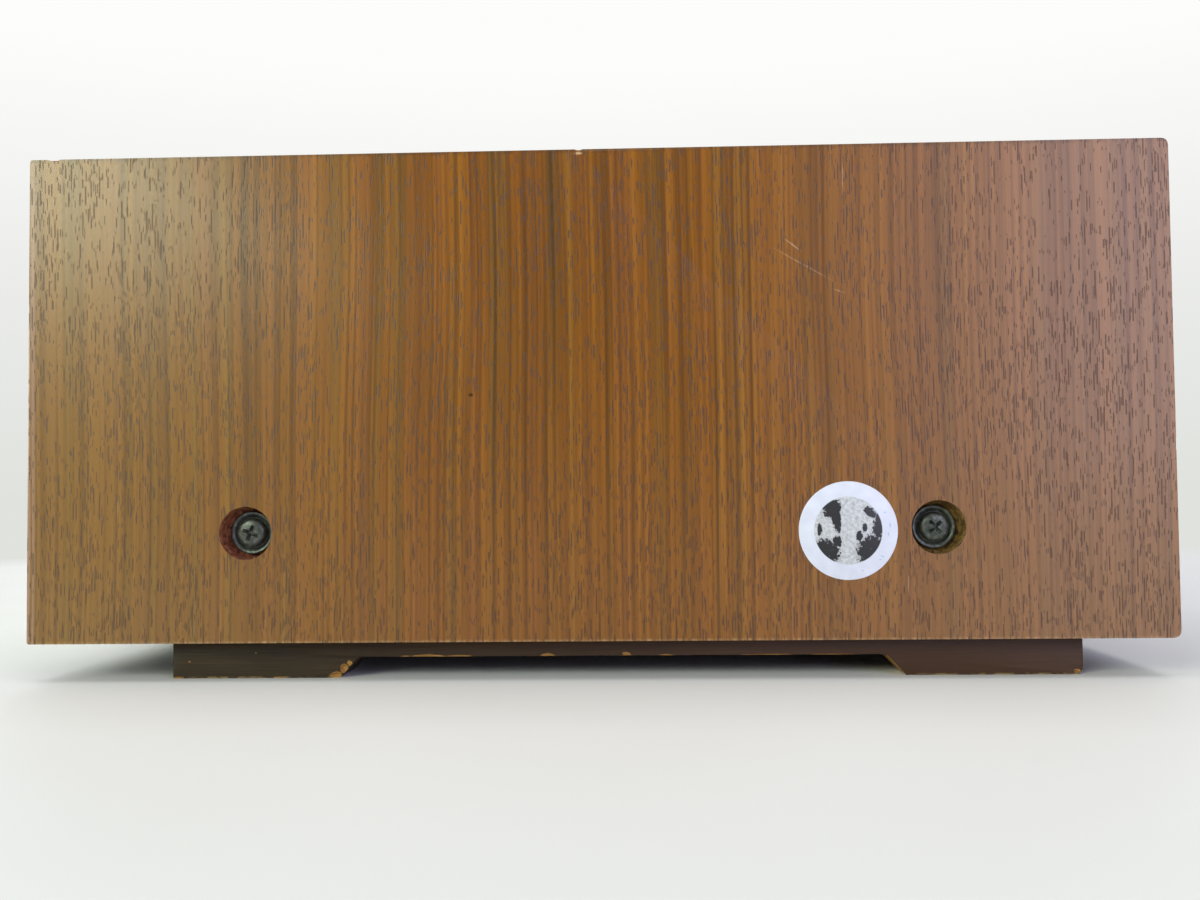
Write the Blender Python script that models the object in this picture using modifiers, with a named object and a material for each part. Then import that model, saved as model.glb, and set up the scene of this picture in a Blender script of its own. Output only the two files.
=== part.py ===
"""A stereo receiver in a walnut case: boards, chassis, tuner drive, controls and rear fittings.

Metres, +Z up. The front faces -Y, and +X is the right-hand side seen from the front.
The origin is under the middle of the whole receiver, on the surface that it stands on.
"""

import bpy
import bmesh
from math import acos, atan2, cos, pi, radians, sin, sqrt
from mathutils import Vector

for item in list(bpy.data.objects):
    bpy.data.objects.remove(item)

# Fits shared by all pieces
GAP = 0.0003  # between two pieces that seat on each other
OVERRUN = 0.003  # how far a cutter runs past the face that it opens
SINK = 0.0006  # how far two shapes reach into each other before they become one

# Wooden case
CASE_WIDTH = 0.480
PANEL_DEPTH = 0.365
PANEL_HEIGHT = 0.157
BOARD = 0.012
BASE_BOARD = 0.009
EDGE_ROUND = 0.0009
FOOT_HEIGHT = 0.0125
FRONT_PROUD = 0.016  # knobs ahead of the boards
REAR_PROUD = 0.006  # bar antenna behind the boards

# Foot rails
FOOT_WEB = 0.0058
FOOT_WIDTH = 0.020
FOOT_SIDE_INSET = 0.009
FOOT_FRONT_INSET = 0.044
FOOT_REAR_INSET = 0.027
FRONT_FOOT_LENGTH = 0.055
REAR_FOOT_LENGTH = 0.056
FOOT_SLOPE = 0.0055
FOOT_COVE = 0.003
FOOT_CHAMFER = 0.0015

# Side screws with their cup washers in counterbores
SCREW_FROM_FRONT = 0.071
SCREW_FROM_REAR = 0.074
SCREW_RISE = 0.035
COUNTERBORE_RADIUS = 0.0085
COUNTERBORE_DEPTH = 0.0085
SCREW_HOLE_RADIUS = 0.003
SCREW_HEAD_RADIUS = 0.0048
SCREW_HEAD_HEIGHT = 0.0028
SCREW_SHANK_RADIUS = 0.0025
SCREW_TIP = 0.0015
SCREW_REACH = 0.008  # shank past the inner face of the board
SCREW_CROSS_WIDTH = 0.0011
SCREW_CROSS_SPAN = 0.0052
SCREW_CROSS_DEPTH = 0.0016
SCREW_CROSS_TURN = radians(25)
WASHER_RADIUS = 0.007
WASHER_RISE = 0.0022
WASHER_SHEET = 0.0008
HEAD_SHARES = ((0, 1), (0.55, 0.94), (0.87, 0.7), (1, 0.3), (1, 0))

# Air slots in the top board and the bottom board
TOP_SLOT_WIDTH = 0.0055
TOP_SLOT_LENGTH = 0.062
TOP_SLOT_PITCH = 0.0165
TOP_SLOT_COUNT = 9
TOP_SLOT_ROW_GAP = 0.016
TOP_SLOT_FROM_REAR = 0.030
BASE_SLOT_WIDTH = 0.005
BASE_SLOT_LENGTH = 0.110
BASE_SLOT_PITCH = 0.016
BASE_SLOT_COUNT = 7

# Sheet metal
SHEET = 0.0012
TRAY_LOW_WALL = 0.062
TRAY_HIGH_WALL = 0.126
TRAY_HIGH_LENGTH = 0.070
TRAY_RAMP = 0.035
REAR_RECESS = 0.012
SUBPANEL_LOW_DEPTH = 0.010  # middle of the sheet behind the faceplate's front
SUBPANEL_HIGH_DEPTH = 0.030
SUBPANEL_STEP_RISE = 0.0640  # middle of the step above the tray's floor

# Faceplate and dial
FACE_RECESS = 0.004
FACE_THICKNESS = 0.003
FACE_CLEARANCE = 0.001
FACE_CORNER = 0.0015
WINDOW_LEFT = -0.205
WINDOW_RIGHT = 0.140
WINDOW_LOW = 0.100
WINDOW_HIGH = 0.146
WINDOW_CORNER = 0.003
GLASS_THICKNESS = 0.0025
GLASS_MARGIN = 0.0035
GLASS_CORNER = 0.002
DIAL_LEFT = -0.116
DIAL_RIGHT = 0.148
DIAL_LOW = 0.097
DIAL_HIGH = 0.1475
DIAL_DEPTH = 0.0115  # middle of the dial sheet
DIAL_SHEET = 0.001
DIAL_TAB_HEIGHT = 0.011

# Tuner drive: pointer, cord, idlers, drum, flywheel
CORD_DEPTH = 0.021  # the cord's plane behind the faceplate's front
CORD_RADIUS = 0.0004
PULLEY_WIDTH = 0.005
GROOVE_WIDTH = 0.0026
FLANGE_RISE = 0.0015
IDLER_PITCH = 0.005
IDLER_LEFT_X = -0.095
IDLER_RIGHT_X = 0.135
IDLER_RISE = 0.1462
IDLER_POST_RADIUS = 0.002
SPINDLE_PITCH = 0.006
TUNING_X = 0.182
TUNING_RISE = 0.123
TUNING_SHAFT_RADIUS = 0.003
FLYWHEEL_RADIUS = 0.022
FLYWHEEL_START = 0.0345
FLYWHEEL_THICKNESS = 0.011
FLYWHEEL_RIM = 0.006
FLYWHEEL_WEB = 0.004
DRUM_PITCH = 0.024
DRUM_X = 0.020
DRUM_RISE = 0.121
DRUM_RIM = 0.004
DRUM_WEB = 0.002
DRUM_HUB_RADIUS = 0.006
DRUM_HOLE_RADIUS = 0.0042
DRUM_HOLE_COUNT = 5
DRUM_SHAFT_END = 0.048
POINTER_X = 0.015
NEEDLE_DEPTH = 0.0084
NEEDLE_THICKNESS = 0.0008
NEEDLE_WIDTH = 0.0014
NEEDLE_LOW = 0.104
CARRIAGE_WIDTH = 0.014
CARRIAGE_SHEET = 0.0011
CARRIAGE_TOP = 0.1505
CARRIAGE_LOW = 0.1432
CARRIAGE_TAIL = 0.022
RAIL_DEPTH = 0.0155
RAIL_SHEET = 0.001
RAIL_LOW = 0.140
RAIL_HIGH = 0.149
RAIL_LEFT = -0.104
RAIL_RIGHT = 0.126

# Variable capacitor on its bridge
GANG_WIDTH = 0.046
GANG_START = 0.033
GANG_LENGTH = 0.050
GANG_HEIGHT = 0.042
GANG_WALL = 0.0016
GANG_VANES = 7
VANE_SHEET = 0.0016
BRIDGE_RISE = 0.0732  # middle of its top above the tray's floor
BRIDGE_LEFT = -0.066
BRIDGE_RIGHT = 0.106
BRIDGE_FOOT = 0.010
BRIDGE_START = 0.033
BRIDGE_LENGTH = 0.090

# Dial lamps
LAMP_LEFT = -0.104
LAMP_RIGHT = 0.136
LAMP_DEPTH = 0.0152
LAMP_CARRIER = 0.0045
LAMP_CARRIER_HEIGHT = 0.002
LAMP_RADIUS = 0.0018
LAMP_HEIGHT = 0.0085
LAMP_COUNT = 6

# Meters
METER_FIRST_X = -0.183
METER_PITCH = 0.043
METER_WIDTH = 0.040
METER_LOW = 0.101
METER_HEIGHT = 0.044
METER_START = 0.007
METER_WALL = 0.0012
METER_FACE = 0.0175
METER_PIVOT_RISE = 0.006
METER_PIN_RADIUS = 0.0008
METER_PIN_LENGTH = 0.007
METER_NEEDLE_START = 0.0115
METER_NEEDLE_LENGTH = 0.027
METER_NEEDLE_TAIL = 0.0045
METER_NEEDLE_WIDTH = 0.0016
METER_NEEDLE_TIP = 0.0007
METER_NEEDLE_SHEET = 0.0008
METER_HUB_RADIUS = 0.0024
METER_HUB_LENGTH = 0.003
METER_SWING = radians(38)

# Controls along the lower row, from the left
ROW_RISE = 0.060
SPEAKER_KNOB_X = -0.128
BASS_KNOB_X = -0.088
TREBLE_KNOB_X = -0.050
BALANCE_KNOB_X = 0.082
VOLUME_KNOB_X = 0.128
SOURCE_KNOB_X = 0.178
TONE_KNOB_RADIUS = 0.013
VOLUME_KNOB_RADIUS = 0.018
SOURCE_KNOB_RADIUS = 0.015
TUNING_KNOB_RADIUS = 0.023
TUNING_KNOB_CROWN = 0.006  # knob left ahead of its shaft
KNOB_STANDOFF = 0.0012
KNOB_SKIRT = 0.003
KNOB_CHAMFER = 0.0012
KNOB_DISH = 0.0006
KNOB_FLUTES = 14
KNOB_FLUTE_DEPTH = 0.0007
KNOB_LINE_WIDTH = 0.0012
KNOB_LINE_DEPTH = 0.0007
KNOB_GRIP_SHARE = 0.86
KNOB_RIM_SHARE = 0.93
KNOB_LINE_SHARES = (0.30, 0.74)
SHAFT_RADIUS = 0.003
SHAFT_END = 0.020
POT_RADIUS = 0.0105
BOARD_START = 0.0235
PCB = 0.0016
CONTROL_LEFT = -0.212
CONTROL_RIGHT = 0.198
CONTROL_LOW = 0.038
CONTROL_HIGH = 0.084

# Lever switches
LEVER_FIRST_X = -0.014
LEVER_PITCH = 0.020
LEVER_COUNT = 4
LEVER_PIVOT_DEPTH = 0.0062
LEVER_HUB_RADIUS = 0.0024
LEVER_HUB_LENGTH = 0.011
LEVER_REACH = 0.0175
LEVER_ROOT_WIDTH = 0.0042
LEVER_TIP_WIDTH = 0.0052
LEVER_THICKNESS = 0.0026
LEVER_TAIL = 0.009
LEVER_SLOT_WIDTH = 0.0064
LEVER_SLOT_HEIGHT = 0.0086
LEVER_BANK_HEIGHT = 0.013
SLOT_CORNER_SHARE = 0.9
LEVER_BANK_MARGIN = 0.0135
LEVER_BANK_WALL = 0.006  # past each end of the hubs' bore
SWITCH_WIDTH = 0.015
SWITCH_HEIGHT = 0.014

# Power button
POWER_X = -0.201
POWER_RADIUS = 0.0065
POWER_PROUD = 0.0085
POWER_CAP_END = 0.0048
POWER_STEM_RADIUS = 0.0024
POWER_STEM_END = 0.0175
POWER_TRAVEL = 0.004
POWER_SWITCH = 0.013

# Headphone jack
JACK_X = -0.168
JACK_BORE_RADIUS = 0.0033
JACK_BARREL_RADIUS = 0.0046
JACK_NUT_RADIUS = 0.0068
JACK_NUT = 0.0022
JACK_BODY_WIDTH = 0.016
JACK_BODY_HEIGHT = 0.014
JACK_BODY_END = 0.038
JACK_BORE_END = 0.033

# Rear fittings
PHONO_X = 0.100
PHONO_RISE = 0.085
PHONO_COLUMNS = 5
PHONO_ROWS = 2
PHONO_PITCH = 0.019
PHONO_PLATE = 0.002
PHONO_RADIUS = 0.0042
PHONO_LENGTH = 0.0085
PHONO_BORE_RADIUS = 0.0016
SPEAKER_X = -0.045
SPEAKER_RISE = 0.085
SPEAKER_COLUMNS = 4
SPEAKER_ROWS = 2
SPEAKER_PITCH_X = 0.024
SPEAKER_PITCH_Z = 0.018
SPEAKER_BLOCK = 0.006
SPEAKER_POST_RADIUS = 0.0055
SPEAKER_POST_LENGTH = 0.008
ANTENNA_X = 0.165
ANTENNA_RISE = 0.128
ANTENNA_PITCH = 0.012
ANTENNA_COUNT = 4
ANTENNA_BLOCK = 0.006
ANTENNA_BLOCK_HEIGHT = 0.018
ANTENNA_SCREW_RADIUS = 0.0034
ANTENNA_SCREW_HEAD = 0.0022
BAR_RADIUS = 0.0062
BAR_LENGTH = 0.165
BAR_RISE = 0.138
BAR_PIVOT_X = 0.092
BAR_PIN_RADIUS = 0.002
BAR_EYE_RADIUS = 0.004
BAR_END_CHAMFER = 0.0006
BAR_EAR_SHEET = 0.002
FUSE_X = -0.120
FUSE_RISE = 0.085
FUSE_RADIUS = 0.0075
FUSE_NECK_RADIUS = 0.006
FUSE_LENGTH = 0.011
FUSE_TAIL = 0.022
OUTLET_X = -0.165
OUTLET_RISE = 0.092
OUTLET_WIDTH = 0.036
OUTLET_HEIGHT = 0.050
OUTLET_DEPTH = 0.006
OUTLET_CORNER = 0.003
OUTLET_SLOT_WIDTH = 0.0022
OUTLET_SLOT_HEIGHT = 0.0075
OUTLET_SLOT_SPACING = 0.0127
GROMMET_X = -0.200
GROMMET_RISE = 0.048
GROMMET_BORE_RADIUS = 0.0045
GROMMET_NECK_RADIUS = 0.0065
GROMMET_FLANGE_RADIUS = 0.009
GROMMET_FLANGE = 0.003
GROMMET_INSIDE = 0.0025
REAR_STUD_RADIUS = 0.003
REAR_STUD_LENGTH = 0.004

# Inside
TRANSFORMER_X = -0.160
TRANSFORMER_Y = 0.060
TRANSFORMER_WIDTH = 0.078
TRANSFORMER_DEPTH = 0.066
TRANSFORMER_HEIGHT = 0.070
TRANSFORMER_CORE_SHARE = 0.42
TRANSFORMER_BELL_SHARES = (0.80, 1.0, 0.86)
TRANSFORMER_FOOT = 0.003
TRANSFORMER_FOOT_REACH = 0.008
SINK_LEFT = -0.085
SINK_RIGHT = 0.125
SINK_HEIGHT = 0.090
SINK_BASE = 0.005
SINK_FIN_HEIGHT = 0.032
SINK_FIN_SHEET = 0.003
SINK_FINS = 14
SINK_FROM_REAR = 0.010
AMP_LEFT = -0.105
AMP_RIGHT = 0.205
AMP_START = 0.130
AMP_LENGTH = 0.110
AMP_POST_RADIUS = 0.003
AMP_POST = 0.008
CAPACITOR_FIRST_X = 0.150
CAPACITOR_PITCH = 0.038
CAPACITOR_COUNT = 2
CAPACITOR_DEPTH = 0.165  # behind the faceplate's front
CAPACITOR_RADIUS = 0.0165
CAPACITOR_HEIGHT = 0.062

# Places worked out from the sizes
CASE_FRONT = FRONT_PROUD - (PANEL_DEPTH + FRONT_PROUD + REAR_PROUD) / 2
CASE_REAR = CASE_FRONT + PANEL_DEPTH
CASE_MIDDLE = (CASE_FRONT + CASE_REAR) / 2
CASE_SIDE = CASE_WIDTH / 2
CASE_BOTTOM = FOOT_HEIGHT
CASE_TOP = CASE_BOTTOM + PANEL_HEIGHT
INNER_SIDE = CASE_SIDE - BOARD
INNER_TOP = CASE_TOP - BOARD
INNER_BOTTOM = CASE_BOTTOM + BASE_BOARD
FACE = CASE_FRONT + FACE_RECESS
REAR_FACE = CASE_REAR - REAR_RECESS
REAR_INSIDE = REAR_FACE - SHEET
TRAY_FLOOR = INNER_BOTTOM + GAP + SHEET
TRAY_SIDE = INNER_SIDE - GAP - SHEET
STEP_RISE = TRAY_FLOOR + SUBPANEL_STEP_RISE
FACE_LOW = INNER_BOTTOM + FACE_CLEARANCE
FACE_HIGH = INNER_TOP - FACE_CLEARANCE
SUBPANEL_LOW_FRONT = FACE + SUBPANEL_LOW_DEPTH - SHEET / 2
SUBPANEL_LOW_BACK = SUBPANEL_LOW_FRONT + SHEET
SUBPANEL_HIGH_FRONT = FACE + SUBPANEL_HIGH_DEPTH - SHEET / 2
KNOB_FRONT = CASE_FRONT - FRONT_PROUD
KNOB_BACK = FACE - KNOB_STANDOFF
KNOBS = {  # place across and radius
    "speaker_knob": (SPEAKER_KNOB_X, TONE_KNOB_RADIUS),
    "bass_knob": (BASS_KNOB_X, TONE_KNOB_RADIUS),
    "treble_knob": (TREBLE_KNOB_X, TONE_KNOB_RADIUS),
    "balance_knob": (BALANCE_KNOB_X, TONE_KNOB_RADIUS),
    "volume_knob": (VOLUME_KNOB_X, VOLUME_KNOB_RADIUS),
    "source_knob": (SOURCE_KNOB_X, SOURCE_KNOB_RADIUS),
}
LEVER_XS = [LEVER_FIRST_X + LEVER_PITCH * index for index in range(LEVER_COUNT)]
METER_XS = (METER_FIRST_X, METER_FIRST_X + METER_PITCH)

receiver = bpy.data.collections.new("stereo_receiver")
cutters = bpy.data.collections.new("cutters")
bpy.context.scene.collection.children.link(receiver)
bpy.context.scene.collection.children.link(cutters)


# Materials
def surface(name, colour, roughness, metallic=0.0):
    made = bpy.data.materials.new(name)
    made.use_nodes = True
    shader = made.node_tree.nodes["Principled BSDF"]
    shader.inputs["Base Color"].default_value = (*colour, 1.0)
    shader.inputs["Roughness"].default_value = roughness
    shader.inputs["Metallic"].default_value = metallic
    return made


walnut = surface("oiled_walnut_veneer", (0.23, 0.115, 0.062), 0.5)
stained = surface("dark_stained_wood", (0.045, 0.026, 0.018), 0.55)
black_screw = surface("black_oxide_screw", (0.02, 0.02, 0.022), 0.35, 1.0)
black_washer = surface("black_oxide_washer", (0.03, 0.03, 0.032), 0.4, 1.0)
zinc = surface("zinc_plated_steel_sheet", (0.55, 0.53, 0.47), 0.42, 1.0)
black_sheet = surface("black_painted_steel", (0.03, 0.03, 0.03), 0.5)
brushed = surface("brushed_aluminium", (0.72, 0.71, 0.69), 0.3, 1.0)
turned_aluminium = surface("turned_aluminium", (0.75, 0.74, 0.72), 0.25, 1.0)
glass = surface("window_glass", (0.55, 0.6, 0.6), 0.05)
dial_black = surface("dial_lacquer", (0.01, 0.012, 0.015), 0.4)
white_plastic = surface("white_plastic", (0.8, 0.8, 0.76), 0.45)
red_plastic = surface("red_plastic", (0.55, 0.05, 0.02), 0.4)
black_plastic = surface("black_plastic", (0.02, 0.02, 0.02), 0.45)
brown_board = surface("phenolic_board", (0.24, 0.13, 0.05), 0.55)
steel = surface("bright_steel", (0.6, 0.6, 0.6), 0.3, 1.0)
cord_nylon = surface("dial_cord_nylon", (0.5, 0.42, 0.28), 0.7)
lamp_amber = surface("lamp_glass", (0.8, 0.75, 0.6), 0.1)
black_anodised = surface("black_anodised_aluminium", (0.03, 0.03, 0.03), 0.45, 1.0)
core_paint = surface("transformer_lacquer", (0.05, 0.05, 0.055), 0.4)


# Shapes. One with a material is a piece of the receiver, and one without is a tool that cuts or joins
def place(name, mesh, material, location, rotation=(0, 0, 0)):
    thing = bpy.data.objects.new(name, mesh)
    thing.location = location
    thing.rotation_euler = rotation
    if material:
        mesh.materials.append(material)
        receiver.objects.link(thing)
    else:
        cutters.objects.link(thing)
        thing.hide_render = True
        thing.display_type = "WIRE"
    return thing


def mesh_from(name, shape, smooth=False):
    mesh = bpy.data.meshes.new(name)
    shape.to_mesh(mesh)
    shape.free()
    if smooth:
        mesh.shade_smooth()
        mesh.set_sharp_from_angle(angle=radians(35))
    return mesh


def blocks(name, corner_pairs, material=None):
    """Boxes between pairs of low and high corners, as one object."""
    origin = (Vector(corner_pairs[0][0]) + Vector(corner_pairs[0][1])) / 2
    shape = bmesh.new()
    for low, high in corner_pairs:
        size = Vector(high) - Vector(low)
        middle = (Vector(high) + Vector(low)) / 2 - origin
        made = bmesh.ops.create_cube(shape, size=1.0)
        bmesh.ops.scale(shape, vec=size, verts=made["verts"])
        bmesh.ops.translate(shape, vec=middle, verts=made["verts"])
    return place(name, mesh_from(name, shape), material, origin)


def block(name, low, high, material=None):
    return blocks(name, [(low, high)], material)


def rods(name, places, radius, start, end, material=None, sides=10, along="Y"):
    """Round bars along one axis, from start to end, at places across it."""
    shape = bmesh.new()
    for across in places:
        made = bmesh.ops.create_cone(
            shape, cap_ends=True, segments=sides, radius1=radius, radius2=radius, depth=abs(end - start)
        )
        bmesh.ops.translate(shape, vec=(across[0] - places[0][0], across[1] - places[0][1], 0),
                            verts=made["verts"])
    first, middle = places[0], (start + end) / 2
    mesh = mesh_from(name, shape, smooth=True)
    if along == "Y":
        # the bars' own up is the front, so the second place is turned upright
        for vertex in mesh.vertices:
            vertex.co.z = -vertex.co.z
        mesh.flip_normals()
        return place(name, mesh, material, (first[0], middle, first[1]), (pi / 2, 0, 0))
    if along == "X":
        return place(name, mesh, material, (middle, first[0], first[1]), (pi / 2, 0, pi / 2))
    return place(name, mesh, material, (first[0], first[1], middle))


def arc(centre, radius, start, end, steps):
    """Points on an arc between two angles."""
    turn = (end - start) / steps
    return [(centre[0] + radius * cos(start + turn * i), centre[1] + radius * sin(start + turn * i))
            for i in range(steps + 1)]


def circle(centre, radius, steps=24):
    return arc(centre, radius, 0, 2 * pi * (steps - 1) / steps, steps - 1)


def rounded(low, high, radius, steps=3):
    """A rectangle with round corners."""
    left, bottom = low[0] + radius, low[1] + radius
    right, top = high[0] - radius, high[1] - radius
    return (arc((right, bottom), radius, -pi / 2, 0, steps) + arc((right, top), radius, 0, pi / 2, steps)
            + arc((left, top), radius, pi / 2, pi, steps) + arc((left, bottom), radius, pi, 3 * pi / 2,
                                                                steps))


FRONT_VIEW = (pi / 2, 0, 0)  # an outline's x and y lie along world X and Z
SIDE_VIEW = (pi / 2, 0, pi / 2)  # along world Y and Z
PLAN_VIEW = (0, 0, 0)  # along world X and Y


def flat(name, loops, thickness, view, location, material=None):
    """A plate from an outline and its holes, its thickness even about its middle."""
    curve = bpy.data.curves.new(name, "CURVE")
    curve.dimensions = "2D"
    curve.fill_mode = "BOTH"
    curve.extrude = thickness / 2
    for loop in loops:
        spline = curve.splines.new("POLY")
        spline.points.add(len(loop) - 1)
        for point, (x, y) in zip(spline.points, loop):
            point.co = (x, y, 0, 1)
        spline.use_cyclic_u = True
    return mesh_of_curve(name, curve, material, location, view)


def mesh_of_curve(name, curve, material, location, rotation=(0, 0, 0), smooth=False):
    drawn = bpy.data.objects.new(name + "_drawn", curve)
    cutters.objects.link(drawn)
    evaluated = drawn.evaluated_get(bpy.context.evaluated_depsgraph_get())
    shape = bmesh.new()
    shape.from_mesh(bpy.data.meshes.new_from_object(evaluated))
    bpy.data.objects.remove(drawn)
    bmesh.ops.remove_doubles(shape, verts=shape.verts, dist=GAP / 100)
    bmesh.ops.recalc_face_normals(shape, faces=shape.faces)
    return place(name, mesh_from(name, shape, smooth), material, location, rotation)


TOWARDS = {
    "-Y": (pi / 2, 0, 0),
    "+Y": (-pi / 2, 0, 0),
    "+X": (0, pi / 2, 0),
    "-X": (0, -pi / 2, 0),
    "+Z": (0, 0, 0),
}


def turned(name, profile, towards, location, material=None, steps=32, ring=False):
    """A profile of radius and height, from the top down its outer side, turned about its own axis."""
    shape = bmesh.new()
    points = [shape.verts.new((radius, 0, height)) for radius, height in profile]
    pairs = list(zip(points, points[1:]))
    if ring:
        pairs.append((points[-1], points[0]))
    for pair in pairs:
        shape.edges.new(pair)
    thing = place(name, mesh_from(name, shape), material, location, TOWARDS[towards])
    screw = thing.modifiers.new("turn", "SCREW")
    screw.angle = 2 * pi
    screw.steps = steps
    screw.render_steps = steps
    screw.use_merge_vertices = True
    screw.merge_threshold = GAP / 100
    screw.use_smooth_shade = True
    return thing


def folded(name, section, sheet, length, view, location, material):
    """Sheet bent along a section, an open strip given its thickness about its middle."""
    shape = bmesh.new()
    points = [shape.verts.new((x, y, -length / 2)) for x, y in section]
    edges = [shape.edges.new(pair) for pair in zip(points, points[1:])]
    made = bmesh.ops.extrude_edge_only(shape, edges=edges)
    moved = [item for item in made["geom"] if isinstance(item, bmesh.types.BMVert)]
    bmesh.ops.translate(shape, vec=(0, 0, length), verts=moved)
    bmesh.ops.recalc_face_normals(shape, faces=shape.faces)
    thing = place(name, mesh_from(name, shape), material, location, view)
    solid = thing.modifiers.new("sheet", "SOLIDIFY")
    solid.thickness = sheet
    solid.offset = 0
    solid.use_even_offset = True
    return thing


def combine(body, tools, operation):
    for tool in tools:
        step = body.modifiers.new(tool.name, "BOOLEAN")
        step.operation = operation
        step.solver = "EXACT"
        step.object = tool
    return body


def cut(body, *tools):
    return combine(body, tools, "DIFFERENCE")


def join(body, *tools):
    return combine(body, tools, "UNION")


def soften(body, width, segments=1):
    edge = body.modifiers.new("edges", "BEVEL")
    edge.width = width
    edge.segments = segments
    edge.limit_method = "ANGLE"
    edge.angle_limit = radians(40)
    return body


def behind(depth):
    """A place so far behind the faceplate's front."""
    return FACE + depth


# Side boards: mitred at the top, counterbored for the screws
SCREW_PLACES = (CASE_FRONT + SCREW_FROM_FRONT, CASE_REAR - SCREW_FROM_REAR)
SIDES = {"right": 1, "left": -1}

for side_name, side in SIDES.items():
    outward = "+X" if side > 0 else "-X"
    board_section = [(0, 0), (0, PANEL_HEIGHT), (-side * BOARD, PANEL_HEIGHT - BOARD), (-side * BOARD, 0)]
    board = flat("side_panel_" + side_name, [board_section], PANEL_DEPTH, FRONT_VIEW,
                 (side * CASE_SIDE, CASE_MIDDLE, CASE_BOTTOM), walnut)
    soften(board, EDGE_ROUND)
    for number, screw_y in enumerate(SCREW_PLACES, start=1):
        label = side_name + "_" + str(number)
        face_point = (side * CASE_SIDE, screw_y, CASE_BOTTOM + SCREW_RISE)
        stepped = [(0, OVERRUN), (COUNTERBORE_RADIUS, OVERRUN), (COUNTERBORE_RADIUS, -COUNTERBORE_DEPTH),
                   (SCREW_HOLE_RADIUS, -COUNTERBORE_DEPTH), (SCREW_HOLE_RADIUS, -BOARD - OVERRUN),
                   (0, -BOARD - OVERRUN)]
        cut(board, turned("bore_" + label, stepped, outward, face_point, steps=20))

        washer_foot = -COUNTERBORE_DEPTH + GAP
        washer_inner = SCREW_SHANK_RADIUS + GAP
        washer_profile = [
            (WASHER_RADIUS - WASHER_SHEET, washer_foot + WASHER_RISE),
            (WASHER_RADIUS, washer_foot + WASHER_RISE - WASHER_SHEET),
            (WASHER_RADIUS, washer_foot),
            (washer_inner, washer_foot),
            (washer_inner, washer_foot + WASHER_SHEET),
            (SCREW_HEAD_RADIUS + GAP, washer_foot + WASHER_SHEET),
        ]
        turned("cup_washer_" + label, washer_profile, outward, face_point, black_washer, steps=14,
               ring=True)

        head_foot = washer_foot + WASHER_SHEET + GAP
        head = [(SCREW_HEAD_RADIUS * r, head_foot + SCREW_HEAD_HEIGHT * h) for r, h in HEAD_SHARES]
        shank_end = -BOARD - SCREW_REACH
        shank = [(SCREW_SHANK_RADIUS, head_foot), (SCREW_SHANK_RADIUS, shank_end),
                 (0, shank_end - SCREW_TIP)]
        screw = turned("side_screw_" + label, head + shank, outward, face_point, black_screw, steps=12)
        arm, half = SCREW_CROSS_SPAN / 2, SCREW_CROSS_WIDTH / 2
        straight = [(arm, -half), (arm, half), (half, half), (half, arm), (-half, arm), (-half, half),
                    (-arm, half), (-arm, -half), (-half, -half), (-half, -arm), (half, -arm), (half, -half)]
        turn = SCREW_CROSS_TURN * number
        cross = [(y * cos(turn) - z * sin(turn), y * sin(turn) + z * cos(turn)) for y, z in straight]
        cross_floor = head_foot + SCREW_HEAD_HEIGHT - SCREW_CROSS_DEPTH
        cross_middle = cross_floor + SCREW_HEAD_HEIGHT / 2
        cut(screw, flat("cross_" + label, [cross], SCREW_HEAD_HEIGHT, SIDE_VIEW,
                        (side * (CASE_SIDE + cross_middle), screw_y, face_point[2])))

# Top board: between the mitres, with two rows of air slots over the heat sink
seam = GAP * sqrt(2)
top_section = [(-CASE_SIDE + seam, BOARD), (-INNER_SIDE + seam, 0), (INNER_SIDE - seam, 0),
               (CASE_SIDE - seam, BOARD)]
top_panel = flat("top_panel", [top_section], PANEL_DEPTH, FRONT_VIEW, (0, CASE_MIDDLE, INNER_TOP), walnut)
soften(top_panel, EDGE_ROUND)


def slot_row(name, count, pitch, width, length, start_y, low, high):
    """Round-ended slots along Y, side by side, to cut through a board."""
    shapes = []
    for index in range(count):
        x = (index - (count - 1) / 2) * pitch
        ends = arc((x, start_y + length - width / 2), width / 2, 0, pi, 3)
        ends += arc((x, start_y + width / 2), width / 2, pi, 2 * pi, 3)
        shapes.append(ends)
    return flat(name, shapes, high - low, PLAN_VIEW, (0, 0, (low + high) / 2))


for row in range(2):
    rows_back = row * (TOP_SLOT_LENGTH + TOP_SLOT_ROW_GAP)
    row_start = CASE_REAR - TOP_SLOT_FROM_REAR - TOP_SLOT_LENGTH - rows_back
    cut(top_panel, slot_row("top_slots_" + str(row + 1), TOP_SLOT_COUNT, TOP_SLOT_PITCH, TOP_SLOT_WIDTH,
                            TOP_SLOT_LENGTH, row_start, INNER_TOP - OVERRUN, CASE_TOP + OVERRUN))

# Bottom board
bottom_board = block("bottom_board", (-INNER_SIDE + GAP, CASE_FRONT, CASE_BOTTOM),
                     (INNER_SIDE - GAP, CASE_REAR, INNER_BOTTOM), stained)
cut(bottom_board,
    slot_row("base_slots", BASE_SLOT_COUNT, BASE_SLOT_PITCH, BASE_SLOT_WIDTH, BASE_SLOT_LENGTH,
                           CASE_MIDDLE, CASE_BOTTOM - OVERRUN, INNER_BOTTOM + OVERRUN))

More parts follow.
